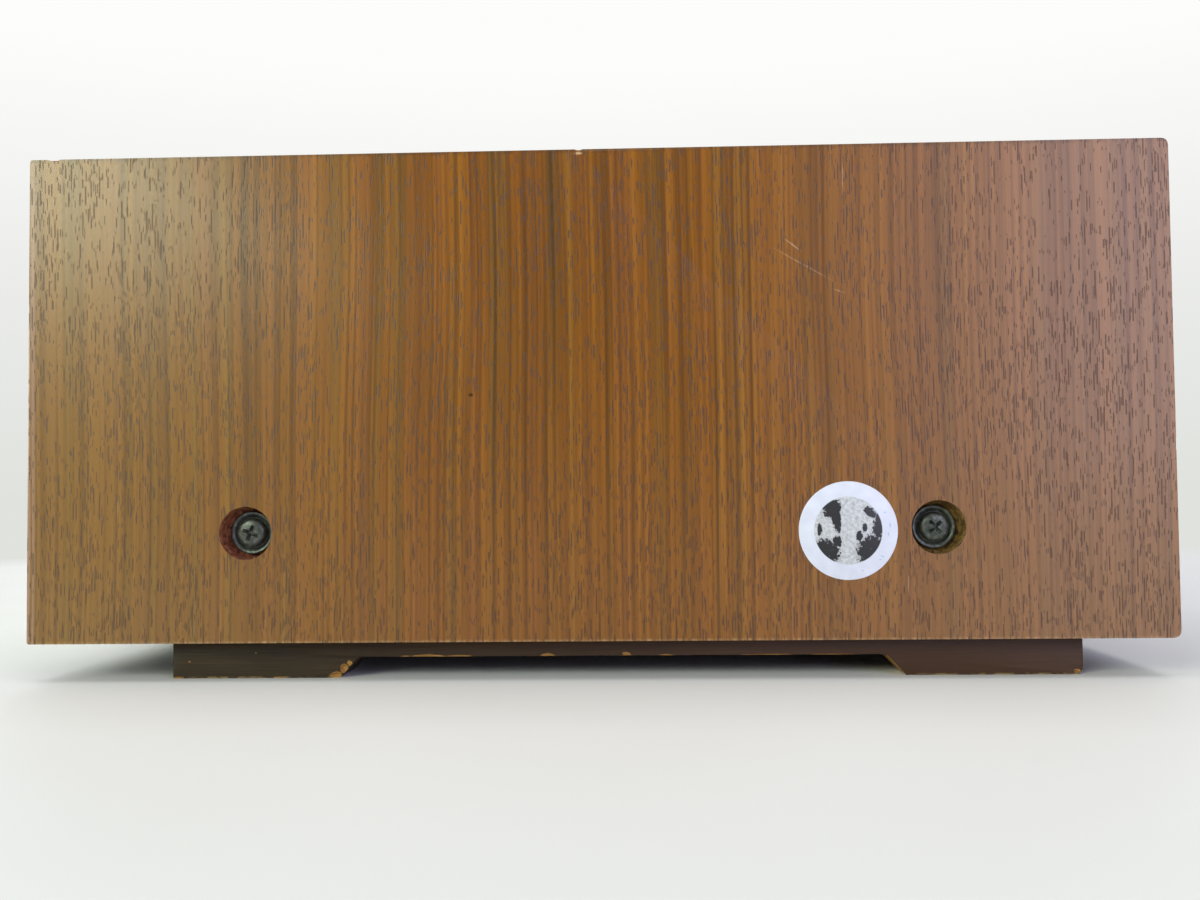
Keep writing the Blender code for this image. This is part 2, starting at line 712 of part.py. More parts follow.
# Foot rails: one stick a side, coved out between its two feet
rail_start = CASE_FRONT + FOOT_FRONT_INSET
rail_end = CASE_REAR - FOOT_REAR_INSET
rail_top = FOOT_HEIGHT - GAP
web_low = FOOT_HEIGHT - FOOT_WEB
cove_start = rail_start + FRONT_FOOT_LENGTH
cove_end = rail_end - REAR_FOOT_LENGTH
slope_end = cove_start + FOOT_SLOPE
cove_shift = FOOT_COVE * sin(pi / 4)
front_cove = arc((slope_end + cove_shift, web_low - FOOT_COVE), FOOT_COVE, 3 * pi / 4, pi / 2, 3)
rear_cove = arc((cove_end - FOOT_SLOPE - cove_shift, web_low - FOOT_COVE), FOOT_COVE, pi / 2, pi / 4, 3)
rail_outline = [(rail_start, rail_top), (rail_start, 0), (cove_start, 0), *front_cove, *rear_cove,
                (cove_end, 0),
                (rail_end - FOOT_CHAMFER, 0), (rail_end, FOOT_CHAMFER), (rail_end, rail_top)]
for side_name, side in SIDES.items():
    rail_x = side * (CASE_SIDE - FOOT_SIDE_INSET - FOOT_WIDTH / 2)
    flat("foot_rail_" + side_name, [rail_outline], FOOT_WIDTH, SIDE_VIEW, (rail_x, 0, 0), stained)

# Chassis tray: one sheet bent to a floor and two walls, with the walls lowered behind the front
tray_front = FACE + FACE_THICKNESS + GAP
tray_length = REAR_INSIDE - GAP - tray_front
tray_wall_x = INNER_SIDE - GAP - SHEET / 2
tray_floor_z = INNER_BOTTOM + GAP + SHEET / 2
tray_section = [(-tray_wall_x, tray_floor_z + TRAY_HIGH_WALL), (-tray_wall_x, tray_floor_z),
                (tray_wall_x, tray_floor_z), (tray_wall_x, tray_floor_z + TRAY_HIGH_WALL)]
tray = folded("chassis_tray", tray_section, SHEET, tray_length, FRONT_VIEW,
              (0, tray_front + tray_length / 2, 0), zinc)
wall_low = tray_floor_z + TRAY_LOW_WALL
wall_high = tray_floor_z + TRAY_HIGH_WALL + OVERRUN
ramp_start = tray_front + TRAY_HIGH_LENGTH
ramp = [(ramp_start, wall_high), (ramp_start + TRAY_RAMP, wall_low), (REAR_FACE, wall_low),
        (REAR_FACE, wall_high)]
cut(tray, flat("wall_ramp", [ramp], CASE_WIDTH, SIDE_VIEW, (0, 0, 0)))
screw_row = [(y, CASE_BOTTOM + SCREW_RISE) for y in SCREW_PLACES]
cut(tray, rods("tray_screw_holes", screw_row, SCREW_SHANK_RADIUS + GAP, -CASE_SIDE, CASE_SIDE, along="X"))

# Places of the controls on the front
row_places = {name: (x, ROW_RISE) for name, (x, radius) in KNOBS.items()}
tuning_place = (TUNING_X, TUNING_RISE)
power_place = (POWER_X, ROW_RISE)
jack_place = (JACK_X, ROW_RISE)
drum_place = (DRUM_X, DRUM_RISE)


def lever_slots(name, start, end, tall=LEVER_SLOT_HEIGHT):
    """One upright slot for each lever."""
    half_width, half_height = LEVER_SLOT_WIDTH / 2, tall / 2
    return blocks(name, [((x - half_width, start, ROW_RISE - half_height),
                          (x + half_width, end, ROW_RISE + half_height))
                         for x in LEVER_XS])


# Front sub-panel: stepped back behind the dial, with the posts of the idlers
panel_low = TRAY_FLOOR + GAP
section = [(behind(SUBPANEL_LOW_DEPTH), panel_low), (behind(SUBPANEL_LOW_DEPTH), STEP_RISE),
           (behind(SUBPANEL_HIGH_DEPTH), STEP_RISE), (behind(SUBPANEL_HIGH_DEPTH), FACE_HIGH)]
subpanel = folded("front_subpanel", section, SHEET, 2 * (TRAY_SIDE - GAP), SIDE_VIEW, (0, 0, 0), zinc)
low_start, low_end = SUBPANEL_LOW_FRONT - OVERRUN / 2, SUBPANEL_LOW_BACK + OVERRUN / 2
cut(subpanel,
    rods("subpanel_shaft_holes", list(row_places.values()), SHAFT_RADIUS + GAP, low_start, low_end))
cut(subpanel, rods("subpanel_power_hole", [power_place], POWER_STEM_RADIUS + GAP, low_start, low_end))
cut(subpanel, rods("subpanel_jack_hole", [jack_place], JACK_BARREL_RADIUS + GAP, low_start, low_end))
cut(subpanel, lever_slots("subpanel_lever_slots", low_start, low_end))
high_start, high_end = SUBPANEL_HIGH_FRONT - OVERRUN / 2, SUBPANEL_HIGH_FRONT + SHEET + OVERRUN / 2
cut(subpanel, rods("subpanel_high_holes", [tuning_place, drum_place], TUNING_SHAFT_RADIUS + GAP, high_start,
                   high_end))
idler_places = [(IDLER_LEFT_X, IDLER_RISE), (IDLER_RIGHT_X, IDLER_RISE)]
post_front = behind(CORD_DEPTH - PULLEY_WIDTH / 2)
join(subpanel,
     rods("idler_posts", idler_places, IDLER_POST_RADIUS, post_front, SUBPANEL_HIGH_FRONT + SINK, sides=12))

# Faceplate: one outline with its window and holes
face_side = TRAY_SIDE - GAP
face_loops = [rounded((-face_side, FACE_LOW), (face_side, FACE_HIGH), FACE_CORNER),
              rounded((WINDOW_LEFT, WINDOW_LOW), (WINDOW_RIGHT, WINDOW_HIGH), WINDOW_CORNER)]
face_loops += [circle(spot, SHAFT_RADIUS + GAP, 10) for spot in (*row_places.values(), tuning_place)]
face_loops.append(circle(power_place, POWER_RADIUS + GAP, 16))
face_loops.append(circle(jack_place, JACK_BARREL_RADIUS + GAP, 16))
for x in LEVER_XS:
    half_width, half_height = LEVER_SLOT_WIDTH / 2, LEVER_SLOT_HEIGHT / 2
    face_loops.append(rounded((x - half_width, ROW_RISE - half_height),
                              (x + half_width, ROW_RISE + half_height),
                              half_width * SLOT_CORNER_SHARE, 2))
flat("faceplate", face_loops, FACE_THICKNESS, FRONT_VIEW, (0, FACE + FACE_THICKNESS / 2, 0), brushed)

# Dial window
glass_front = FACE + FACE_THICKNESS + GAP
glass_low = (WINDOW_LEFT - GLASS_MARGIN, WINDOW_LOW - GLASS_MARGIN)
glass_high = (WINDOW_RIGHT + GLASS_MARGIN, WINDOW_HIGH + GLASS_MARGIN)
flat("dial_glass", [rounded(glass_low, glass_high, GLASS_CORNER)], GLASS_THICKNESS, FRONT_VIEW,
     (0, glass_front + GLASS_THICKNESS / 2, 0), glass)

# Dial sheet with two low tabs bent back to the sub-panel
tab_end = SUBPANEL_HIGH_FRONT - GAP
dial_section = [(DIAL_LEFT, tab_end), (DIAL_LEFT, behind(DIAL_DEPTH)), (DIAL_RIGHT, behind(DIAL_DEPTH)),
                (DIAL_RIGHT, tab_end)]
dial_height = DIAL_HIGH - DIAL_LOW
dial = folded("dial_backplate", dial_section, DIAL_SHEET, dial_height, PLAN_VIEW,
              (0, 0, DIAL_LOW + dial_height / 2), dial_black)
tab_cut_low = (DIAL_LEFT - OVERRUN, behind(DIAL_DEPTH) + DIAL_SHEET, DIAL_LOW + DIAL_TAB_HEIGHT)
tab_cut_high = (DIAL_RIGHT + OVERRUN, tab_end + OVERRUN, DIAL_HIGH + OVERRUN)
cut(dial, block("dial_tab_cut", tab_cut_low, tab_cut_high))

# Dial lamps: capless lamps upright in one carrier, on the step of the sub-panel
lamp_floor = STEP_RISE + SHEET / 2 + GAP
lamp_y = behind(LAMP_DEPTH)
lamp_bar = block("lamp_bar", (LAMP_LEFT, lamp_y - LAMP_CARRIER / 2, lamp_floor),
                 (LAMP_RIGHT, lamp_y + LAMP_CARRIER / 2, lamp_floor + LAMP_CARRIER_HEIGHT), lamp_amber)
lamp_pitch = (LAMP_RIGHT - LAMP_LEFT) / LAMP_COUNT
lamp_places = [(LAMP_LEFT + lamp_pitch * (index + 1 / 2), lamp_y) for index in range(LAMP_COUNT)]
join(lamp_bar,
     rods("lamps", lamp_places, LAMP_RADIUS, lamp_floor + LAMP_CARRIER_HEIGHT / 2, lamp_floor + LAMP_HEIGHT,
                    sides=8, along="Z"))


# Tuner drive. A pulley's profile: its cord lies in the groove at the pitch radius
def pulley(pitch, start, end):
    """Outer side of a grooved rim between two heights, top to bottom."""
    middle = (start + end) / 2
    flange, groove = pitch + FLANGE_RISE, pitch - CORD_RADIUS - GAP
    return [(flange, start), (flange, middle + GROOVE_WIDTH / 2),
            (groove, middle + GROOVE_WIDTH / 2 - FLANGE_RISE / 2),
            (groove, middle - GROOVE_WIDTH / 2 + FLANGE_RISE / 2), (flange, middle - GROOVE_WIDTH / 2),
            (flange, end)]


half_pulley = PULLEY_WIDTH / 2
for idler_name, idler_x in (("idler_left", IDLER_LEFT_X), ("idler_right", IDLER_RIGHT_X)):
    bore = IDLER_POST_RADIUS + GAP
    rim = pulley(IDLER_PITCH, half_pulley, -half_pulley)
    turned(idler_name, [(bore, half_pulley), *rim, (bore, -half_pulley)], "-Y",
           (idler_x, behind(CORD_DEPTH), IDLER_RISE), white_plastic, steps=10, ring=True)

# Tuning shaft in one piece with its spindle pulley and flywheel
shaft_nose = KNOB_FRONT + TUNING_KNOB_CROWN
shaft_front = behind(CORD_DEPTH) - shaft_nose
fly_start = CORD_DEPTH - FLYWHEEL_START
fly_end = fly_start - FLYWHEEL_THICKNESS
fly_web = fly_end + FLYWHEEL_WEB
fly_inner = FLYWHEEL_RADIUS - FLYWHEEL_RIM
fly_hub = TUNING_SHAFT_RADIUS * 2
fly_tail = fly_end - SHEET
tuning_profile = [(0, shaft_front), (TUNING_SHAFT_RADIUS, shaft_front), (TUNING_SHAFT_RADIUS, half_pulley),
                  *pulley(SPINDLE_PITCH, half_pulley, -half_pulley), (TUNING_SHAFT_RADIUS, -half_pulley),
                  (TUNING_SHAFT_RADIUS, fly_start), (fly_hub, fly_start), (fly_hub, fly_web),
                  (fly_inner, fly_web),
                  (fly_inner, fly_start), (FLYWHEEL_RADIUS, fly_start), (FLYWHEEL_RADIUS, fly_end),
                  (TUNING_SHAFT_RADIUS, fly_end), (TUNING_SHAFT_RADIUS, fly_tail), (0, fly_tail)]
turned("tuning_flywheel", tuning_profile, "-Y", (TUNING_X, behind(CORD_DEPTH), TUNING_RISE), steel,
       steps=14)

# Drum with round holes in its web and a shaft into the variable capacitor
drum_end = CORD_DEPTH - DRUM_SHAFT_END
drum_inner = DRUM_PITCH - DRUM_RIM
drum_profile = [(0, half_pulley), (DRUM_HUB_RADIUS, half_pulley), (DRUM_HUB_RADIUS, DRUM_WEB / 2),
                (drum_inner, DRUM_WEB / 2), (drum_inner, half_pulley),
                *pulley(DRUM_PITCH, half_pulley, -half_pulley),
                (drum_inner, -half_pulley), (drum_inner, -DRUM_WEB / 2), (DRUM_HUB_RADIUS, -DRUM_WEB / 2),
                (DRUM_HUB_RADIUS, -half_pulley), (TUNING_SHAFT_RADIUS, -half_pulley),
                (TUNING_SHAFT_RADIUS, drum_end),
                (0, drum_end)]
drum = turned("tuning_drum", drum_profile, "-Y", (DRUM_X, behind(CORD_DEPTH), DRUM_RISE), white_plastic,
              steps=14)
hole_ring = (DRUM_HUB_RADIUS + drum_inner) / 2
drum_holes = circle(drum_place, hole_ring, DRUM_HOLE_COUNT)
cut(drum, rods("drum_holes", drum_holes, DRUM_HOLE_RADIUS, behind(CORD_DEPTH) - PULLEY_WIDTH,
               behind(CORD_DEPTH) + PULLEY_WIDTH, sides=6))


# Dial cord: a closed belt round the idlers, the spindle and the drum, clockwise from the front
def belt(wheels):
    """Points on a belt that runs outside its wheels, each a centre and a radius."""
    normals = []
    for index, (centre, radius) in enumerate(wheels):
        other, other_radius = wheels[(index + 1) % len(wheels)]
        across, up = other[0] - centre[0], other[1] - centre[1]
        heading = atan2(up, across)
        normals.append(heading + acos((radius - other_radius) / sqrt(across ** 2 + up ** 2)))
    route = []
    for index, (centre, radius) in enumerate(wheels):
        arrive, leave = normals[index - 1], normals[index]
        while leave > arrive:
            leave -= 2 * pi
        steps = max(2, round((arrive - leave) / (pi / 8)))
        route += arc(centre, radius, arrive, leave, steps)
    return route


wheels = [(idler_places[0], IDLER_PITCH), (idler_places[1], IDLER_PITCH), (tuning_place, SPINDLE_PITCH),
          (drum_place, DRUM_PITCH)]
route = belt(wheels)
cord_curve = bpy.data.curves.new("dial_cord", "CURVE")
cord_curve.dimensions = "3D"
cord_curve.bevel_depth = CORD_RADIUS
cord_curve.bevel_resolution = 1
strand = cord_curve.splines.new("POLY")
strand.points.add(len(route) - 1)
for point, (x, z) in zip(strand.points, route):
    point.co = (x, z, 0, 1)
strand.use_cyclic_u = True
mesh_of_curve("dial_cord", cord_curve, cord_nylon, (0, behind(CORD_DEPTH), 0), FRONT_VIEW, smooth=True)

# Pointer rail: a strip on edge, its ends bent back to the sub-panel
rail_section = [(RAIL_LEFT, tab_end), (RAIL_LEFT, behind(RAIL_DEPTH)), (RAIL_RIGHT, behind(RAIL_DEPTH)),
                (RAIL_RIGHT, tab_end)]
rail_height = RAIL_HIGH - RAIL_LOW
folded("pointer_rail", rail_section, RAIL_SHEET, rail_height, PLAN_VIEW, (0, 0, RAIL_LOW + rail_height / 2),
       zinc)

# Dial pointer: a clip astride the rail, a strip through it over the dial sheet, and the needle
clip_reach = RAIL_SHEET / 2 + GAP + CARRIAGE_SHEET / 2
clip_top = CARRIAGE_TOP - CARRIAGE_SHEET / 2
clip_section = [(behind(RAIL_DEPTH - clip_reach), CARRIAGE_LOW),
                (behind(RAIL_DEPTH - clip_reach), clip_top),
                (behind(RAIL_DEPTH + clip_reach), clip_top),
                (behind(RAIL_DEPTH + clip_reach), CARRIAGE_LOW)]
pointer = folded("dial_pointer", clip_section, CARRIAGE_SHEET, CARRIAGE_WIDTH, SIDE_VIEW, (POINTER_X, 0, 0),
                 red_plastic)
strip_half, strip_sheet = CARRIAGE_WIDTH / 4, CARRIAGE_SHEET / 4
needle_half = NEEDLE_WIDTH / 2
needle_front = behind(NEEDLE_DEPTH) - NEEDLE_THICKNESS
join(pointer, block("pointer_strip", (POINTER_X - strip_half, behind(NEEDLE_DEPTH), clip_top - strip_sheet),
                    (POINTER_X + strip_half, behind(CARRIAGE_TAIL), clip_top + strip_sheet)))
join(pointer, block("pointer_needle", (POINTER_X - needle_half, needle_front, NEEDLE_LOW),
                    (POINTER_X + needle_half, behind(NEEDLE_DEPTH) + SINK, clip_top)))

# Bridge over the tray for the variable capacitor and the tuner board
bridge_top = TRAY_FLOOR + BRIDGE_RISE
bridge_floor = TRAY_FLOOR + GAP + SHEET / 2
bridge_section = [(BRIDGE_LEFT - BRIDGE_FOOT, bridge_floor), (BRIDGE_LEFT, bridge_floor),
                  (BRIDGE_LEFT, bridge_top),
                  (BRIDGE_RIGHT, bridge_top), (BRIDGE_RIGHT, bridge_floor),
                  (BRIDGE_RIGHT + BRIDGE_FOOT, bridge_floor)]
bridge_y = behind(BRIDGE_START) + BRIDGE_LENGTH / 2
folded("tuner_bridge", bridge_section, SHEET, BRIDGE_LENGTH, FRONT_VIEW, (0, bridge_y, 0), zinc)

# Variable capacitor: an open-topped frame with fixed vanes and the bore of its rotor
gang_low = bridge_top + SHEET / 2 + GAP
gang_high = gang_low + GANG_HEIGHT
gang_left, gang_right = DRUM_X - GANG_WIDTH / 2, DRUM_X + GANG_WIDTH / 2
gang_start, gang_end = behind(GANG_START), behind(GANG_START + GANG_LENGTH)
gang = block("tuning_gang", (gang_left, gang_start, gang_low), (gang_right, gang_end, gang_high), steel)
vane_pitch = (GANG_LENGTH - GANG_WALL) / (GANG_VANES + 1)
vane_gaps = []
for index in range(GANG_VANES + 1):
    gap_start = gang_start + GANG_WALL + vane_pitch * index
    vane_gaps.append(((gang_left + GANG_WALL, gap_start, gang_low + GANG_HEIGHT / 3),
                      (gang_right + OVERRUN, gap_start + vane_pitch - VANE_SHEET, gang_high + OVERRUN)))
cut(gang, blocks("vane_gaps", vane_gaps))
cut(gang, rods("gang_bore", [drum_place], TUNING_SHAFT_RADIUS + GAP, gang_start - OVERRUN,
               behind(DRUM_SHAFT_END) + GAP, sides=16))

# Meters: a case open at the front, its scale set back, and a needle on a pin
for meter_name, meter_x in zip(("signal", "tuning"), METER_XS):
    left, right = meter_x - METER_WIDTH / 2, meter_x + METER_WIDTH / 2
    meter_high = METER_LOW + METER_HEIGHT
    case = block("meter_case_" + meter_name, (left, behind(METER_START), METER_LOW),
                 (right, tab_end, meter_high),
                 white_plastic)
    cut(case, block("meter_hollow_" + meter_name,
                    (left + METER_WALL, behind(METER_START) - OVERRUN, METER_LOW + METER_WALL),
                    (right - METER_WALL, behind(METER_FACE), meter_high - METER_WALL)))
    pivot_z = METER_LOW + METER_PIVOT_RISE
    join(case, rods("meter_pin_" + meter_name, [(meter_x, pivot_z)], METER_PIN_RADIUS,
                    behind(METER_FACE) - METER_PIN_LENGTH, behind(METER_FACE) + SINK, sides=12))
    swing = -METER_SWING if meter_name == "signal" else 0
    half_root, half_tip = METER_NEEDLE_WIDTH / 2, METER_NEEDLE_TIP / 2
    blade = [(-half_root, -METER_NEEDLE_TAIL), (half_root, -METER_NEEDLE_TAIL),
             (half_tip, METER_NEEDLE_LENGTH),
             (-half_tip, METER_NEEDLE_LENGTH)]
    pivot = (meter_x, behind(METER_NEEDLE_START), pivot_z)
    turned_view = (pi / 2, swing, 0)
    needle = flat("meter_needle_" + meter_name, [blade], METER_NEEDLE_SHEET, turned_view, pivot,
                  red_plastic)
    hub_ends = (METER_NEEDLE_START - METER_HUB_LENGTH / 2, METER_NEEDLE_START + METER_HUB_LENGTH / 2)
    join(needle,
         rods("needle_hub_" + meter_name, [(meter_x, pivot_z)], METER_HUB_RADIUS, behind(hub_ends[0]),
                      behind(hub_ends[1]), sides=16))
    cut(needle, rods("needle_bore_" + meter_name, [(meter_x, pivot_z)], METER_PIN_RADIUS + GAP,
                     behind(hub_ends[0]) - OVERRUN, behind(hub_ends[1]) + OVERRUN, sides=12))


# Knobs: a turned skirt and face on a fluted grip, with an index line
def fluted(radius):
    """A round outline with shallow flutes."""
    outline = []
    for index in range(KNOB_FLUTES * 2):
        angle = pi * index / KNOB_FLUTES
        reach = radius - KNOB_FLUTE_DEPTH * (index % 2)
        outline.append((reach * cos(angle), reach * sin(angle)))
    return outline


def knob(name, x, z, radius, shaft_end, steps=14):
    grip, rim = radius * KNOB_GRIP_SHARE, radius * KNOB_GRIP_SHARE * KNOB_RIM_SHARE
    length = KNOB_BACK - KNOB_FRONT
    profile = [(0, length - KNOB_DISH), (rim - KNOB_CHAMFER, length), (rim, length - KNOB_CHAMFER),
               (rim, KNOB_SKIRT), (radius - KNOB_DISH, KNOB_SKIRT), (radius, 0)]
    if shaft_end:
        tail = KNOB_BACK - behind(shaft_end)
        profile += [(SHAFT_RADIUS, 0), (SHAFT_RADIUS, tail), (0, tail)]
    else:
        profile.append((0, 0))
    body = turned(name, profile, "-Y", (x, KNOB_BACK, z), turned_aluminium, steps=steps)
    grip_start, grip_end = KNOB_BACK - KNOB_SKIRT + SINK, KNOB_FRONT + KNOB_CHAMFER + KNOB_CHAMFER
    join(body, flat(name + "_grip", [fluted(grip)], grip_start - grip_end, FRONT_VIEW,
                    (x, (grip_start + grip_end) / 2, z)))
    if not shaft_end:
        cut(body, rods(name + "_bore", [(x, z)], TUNING_SHAFT_RADIUS + GAP, shaft_nose - GAP,
                       KNOB_BACK + OVERRUN))
    line_low, line_high = (radius * share for share in KNOB_LINE_SHARES)
    cut(body, block(name + "_line", (x - KNOB_LINE_WIDTH / 2, KNOB_FRONT - OVERRUN, z + line_low),
                    (x + KNOB_LINE_WIDTH / 2, KNOB_FRONT + KNOB_DISH + KNOB_LINE_DEPTH, z + line_high)))
    return body


knob("tuning_knob", TUNING_X, TUNING_RISE, TUNING_KNOB_RADIUS, 0, steps=24)
for knob_name, (knob_x, knob_radius) in KNOBS.items():
    knob(knob_name, knob_x, ROW_RISE, knob_radius, SHAFT_END)

# Control board: potentiometers and rotary switches on one board, with the lever and power switches
board_front, board_back = behind(BOARD_START), behind(BOARD_START) + PCB
control = block("control_board", (CONTROL_LEFT, board_front, CONTROL_LOW),
                (CONTROL_RIGHT, board_back, CONTROL_HIGH),
                brown_board)
pot_front = SUBPANEL_LOW_BACK + GAP
join(control, rods("pots", list(row_places.values()), POT_RADIUS, pot_front, board_front + SINK, sides=10))
switch_boxes = [((x - SWITCH_WIDTH / 2, pot_front, ROW_RISE - SWITCH_HEIGHT / 2),
                 (x + SWITCH_WIDTH / 2, board_front + SINK,
                  ROW_RISE + SWITCH_HEIGHT / 2)) for x in LEVER_XS]
half_power = POWER_SWITCH / 2
switch_boxes.append(((POWER_X - half_power, pot_front, ROW_RISE - half_power),
                     (POWER_X + half_power, board_front + SINK, ROW_RISE + half_power)))
join(control, blocks("switch_boxes", switch_boxes))
cut(control, rods("pot_bores", list(row_places.values()), SHAFT_RADIUS + GAP, pot_front - OVERRUN,
                  behind(SHAFT_END) + GAP, sides=8))
cut(control, rods("power_bore", [power_place], POWER_STEM_RADIUS + GAP, pot_front - OVERRUN,
                  behind(POWER_STEM_END) + POWER_TRAVEL + GAP, sides=16))
tail_room = LEVER_PIVOT_DEPTH + LEVER_TAIL + GAP
cut(control, lever_slots("switch_slots", pot_front - OVERRUN, behind(tail_room)))
jack_half = (JACK_BODY_WIDTH / 2 + GAP, JACK_BODY_HEIGHT / 2 + GAP)
cut(control, block("jack_room", (JACK_X - jack_half[0], board_front - OVERRUN, ROW_RISE - jack_half[1]),
                   (JACK_X + jack_half[0], board_back + OVERRUN, ROW_RISE + jack_half[1])))

# Lever switches: a bar with one bore for the levers' hubs, slotted front and back
bank_front, bank_back = behind(FACE_THICKNESS) + GAP, SUBPANEL_LOW_FRONT - GAP
bank_left, bank_right = LEVER_XS[0] - LEVER_BANK_MARGIN, LEVER_XS[-1] + LEVER_BANK_MARGIN
bank = block("switch_bank", (bank_left, bank_front, ROW_RISE - LEVER_BANK_HEIGHT / 2),
             (bank_right, bank_back, ROW_RISE + LEVER_BANK_HEIGHT / 2), black_plastic)
pivot_y = behind(LEVER_PIVOT_DEPTH)
cut(bank, rods("hub_bore", [(pivot_y, ROW_RISE)], LEVER_HUB_RADIUS + GAP, bank_left + LEVER_BANK_WALL,
               bank_right - LEVER_BANK_WALL, sides=12, along="X"))
cut(bank, lever_slots("bank_slots", bank_front - OVERRUN, bank_back + OVERRUN))
for number, lever_x in enumerate(LEVER_XS, start=1):
    half_root, half_tip = LEVER_ROOT_WIDTH / 2, LEVER_TIP_WIDTH / 2
    tail = LEVER_ROOT_WIDTH / 4
    paddle = [(-half_root, 0), (-half_tip, -LEVER_REACH + half_tip),
              *arc((0, -LEVER_REACH + half_tip), half_tip, pi, 2 * pi, 4)[1:-1],
              (half_tip, -LEVER_REACH + half_tip), (half_root, 0), (tail, LEVER_HUB_RADIUS),
              (tail, LEVER_TAIL),
              (-tail, LEVER_TAIL), (-tail, LEVER_HUB_RADIUS)]
    lever = flat("lever_switch_" + str(number), [paddle], LEVER_THICKNESS, PLAN_VIEW,
                 (lever_x, pivot_y, ROW_RISE),
                 turned_aluminium)
    half_hub = LEVER_HUB_LENGTH / 2
    join(lever,
         rods("lever_hub_" + str(number), [(pivot_y, ROW_RISE)], LEVER_HUB_RADIUS, lever_x - half_hub,
                     lever_x + half_hub, sides=12, along="X"))

# Power button
power_profile = [(0, POWER_PROUD), (POWER_RADIUS - KNOB_CHAMFER, POWER_PROUD),
                 (POWER_RADIUS, POWER_PROUD - KNOB_CHAMFER),
                 (POWER_RADIUS, -POWER_CAP_END), (POWER_STEM_RADIUS, -POWER_CAP_END),
                 (POWER_STEM_RADIUS, -POWER_STEM_END), (0, -POWER_STEM_END)]
turned("power_button", power_profile, "-Y", (POWER_X, FACE, ROW_RISE), turned_aluminium, steps=18)

# Headphone jack: a nut and barrel through the front, on a body behind the sub-panel
barrel_tail = -(SUBPANEL_LOW_DEPTH + SHEET)
jack_profile = [(JACK_BORE_RADIUS, JACK_NUT + GAP), (JACK_NUT_RADIUS - GAP, JACK_NUT + GAP),
                (JACK_NUT_RADIUS, JACK_NUT), (JACK_NUT_RADIUS, GAP), (JACK_BARREL_RADIUS, GAP),
                (JACK_BARREL_RADIUS, barrel_tail - SINK), (JACK_BORE_RADIUS, barrel_tail - SINK)]
jack = turned("phone_jack", jack_profile, "-Y", (JACK_X, FACE, ROW_RISE), steel, steps=16, ring=True)
join(jack, block("jack_body", (JACK_X - JACK_BODY_WIDTH / 2, pot_front, ROW_RISE - JACK_BODY_HEIGHT / 2),
                 (JACK_X + JACK_BODY_WIDTH / 2, behind(JACK_BODY_END), ROW_RISE + JACK_BODY_HEIGHT / 2)))
cut(jack,
    rods("jack_bore", [jack_place], JACK_BORE_RADIUS, behind(-JACK_NUT) - OVERRUN, behind(JACK_BORE_END)))

# Rear panel: one outline with holes for the fittings' studs and the cord's grommet
rear_side = TRAY_SIDE - GAP
grommet_place = (GROMMET_X, GROMMET_RISE)
phono_half = (PHONO_COLUMNS * PHONO_PITCH / 2, PHONO_ROWS * PHONO_PITCH / 2)
speaker_half = (SPEAKER_COLUMNS * SPEAKER_PITCH_X / 2, SPEAKER_ROWS * SPEAKER_PITCH_Z / 2)
antenna_half = (ANTENNA_COUNT * ANTENNA_PITCH / 2, ANTENNA_BLOCK_HEIGHT / 2)
stud_pairs = {
    "phono": [(PHONO_X + side * (phono_half[0] - PHONO_PITCH / 2), PHONO_RISE) for side in (-1, 1)],
    "speaker": [(SPEAKER_X + side * (speaker_half[0] - SPEAKER_PITCH_X / 2), SPEAKER_RISE) for side in (-1,
                                                                                                        1)],
    "antenna": [(ANTENNA_X + side * (antenna_half[0] - ANTENNA_PITCH), ANTENNA_RISE) for side in (-1, 1)],
    "bar": [(BAR_PIVOT_X, BAR_RISE + side * BAR_RADIUS) for side in (-1, 1)],
    "outlet": [(OUTLET_X, OUTLET_RISE + side * OUTLET_HEIGHT / 3) for side in (-1, 1)],
}
rear_loops = [[(-rear_side, TRAY_FLOOR + GAP), (rear_side, TRAY_FLOOR + GAP), (rear_side, FACE_HIGH),
               (-rear_side, FACE_HIGH)]]
for pair in stud_pairs.values():
    rear_loops += [circle(spot, REAR_STUD_RADIUS + GAP, 8) for spot in pair]
rear_loops.append(circle((FUSE_X, FUSE_RISE), FUSE_NECK_RADIUS + GAP, 14))
rear_loops.append(circle(grommet_place, GROMMET_NECK_RADIUS + GAP, 16))
flat("rear_panel", rear_loops, SHEET, FRONT_VIEW, (0, REAR_FACE - SHEET / 2, 0), black_sheet)
fitting_foot = REAR_FACE + GAP


def studs(name, pair_name):
    """The two studs that hold a fitting to the rear panel."""
    return rods(name + "_studs", stud_pairs[pair_name], REAR_STUD_RADIUS, REAR_INSIDE - REAR_STUD_LENGTH,
                fitting_foot + SINK, sides=8)


def grid(middle, columns, rows, pitch_x, pitch_z):
    return [(middle[0] + (column - (columns - 1) / 2) * pitch_x,
             middle[1] + (row - (rows - 1) / 2) * pitch_z)
            for row in range(rows) for column in range(columns)]


# Phono jacks in a strip, with their bores
phono = block("phono_jack_strip", (PHONO_X - phono_half[0], fitting_foot, PHONO_RISE - phono_half[1]),
              (PHONO_X + phono_half[0], fitting_foot + PHONO_PLATE, PHONO_RISE + phono_half[1]),
              brown_board)
phono_places = grid((PHONO_X, PHONO_RISE), PHONO_COLUMNS, PHONO_ROWS, PHONO_PITCH, PHONO_PITCH)
phono_top = fitting_foot + PHONO_PLATE + PHONO_LENGTH
join(phono,
     rods("phono_barrels", phono_places, PHONO_RADIUS, fitting_foot + PHONO_PLATE / 2, phono_top, sides=8))
join(phono, studs("phono", "phono"))
cut(phono, rods("phono_bores", phono_places, PHONO_BORE_RADIUS, fitting_foot + PHONO_PLATE,
                phono_top + OVERRUN, sides=6))

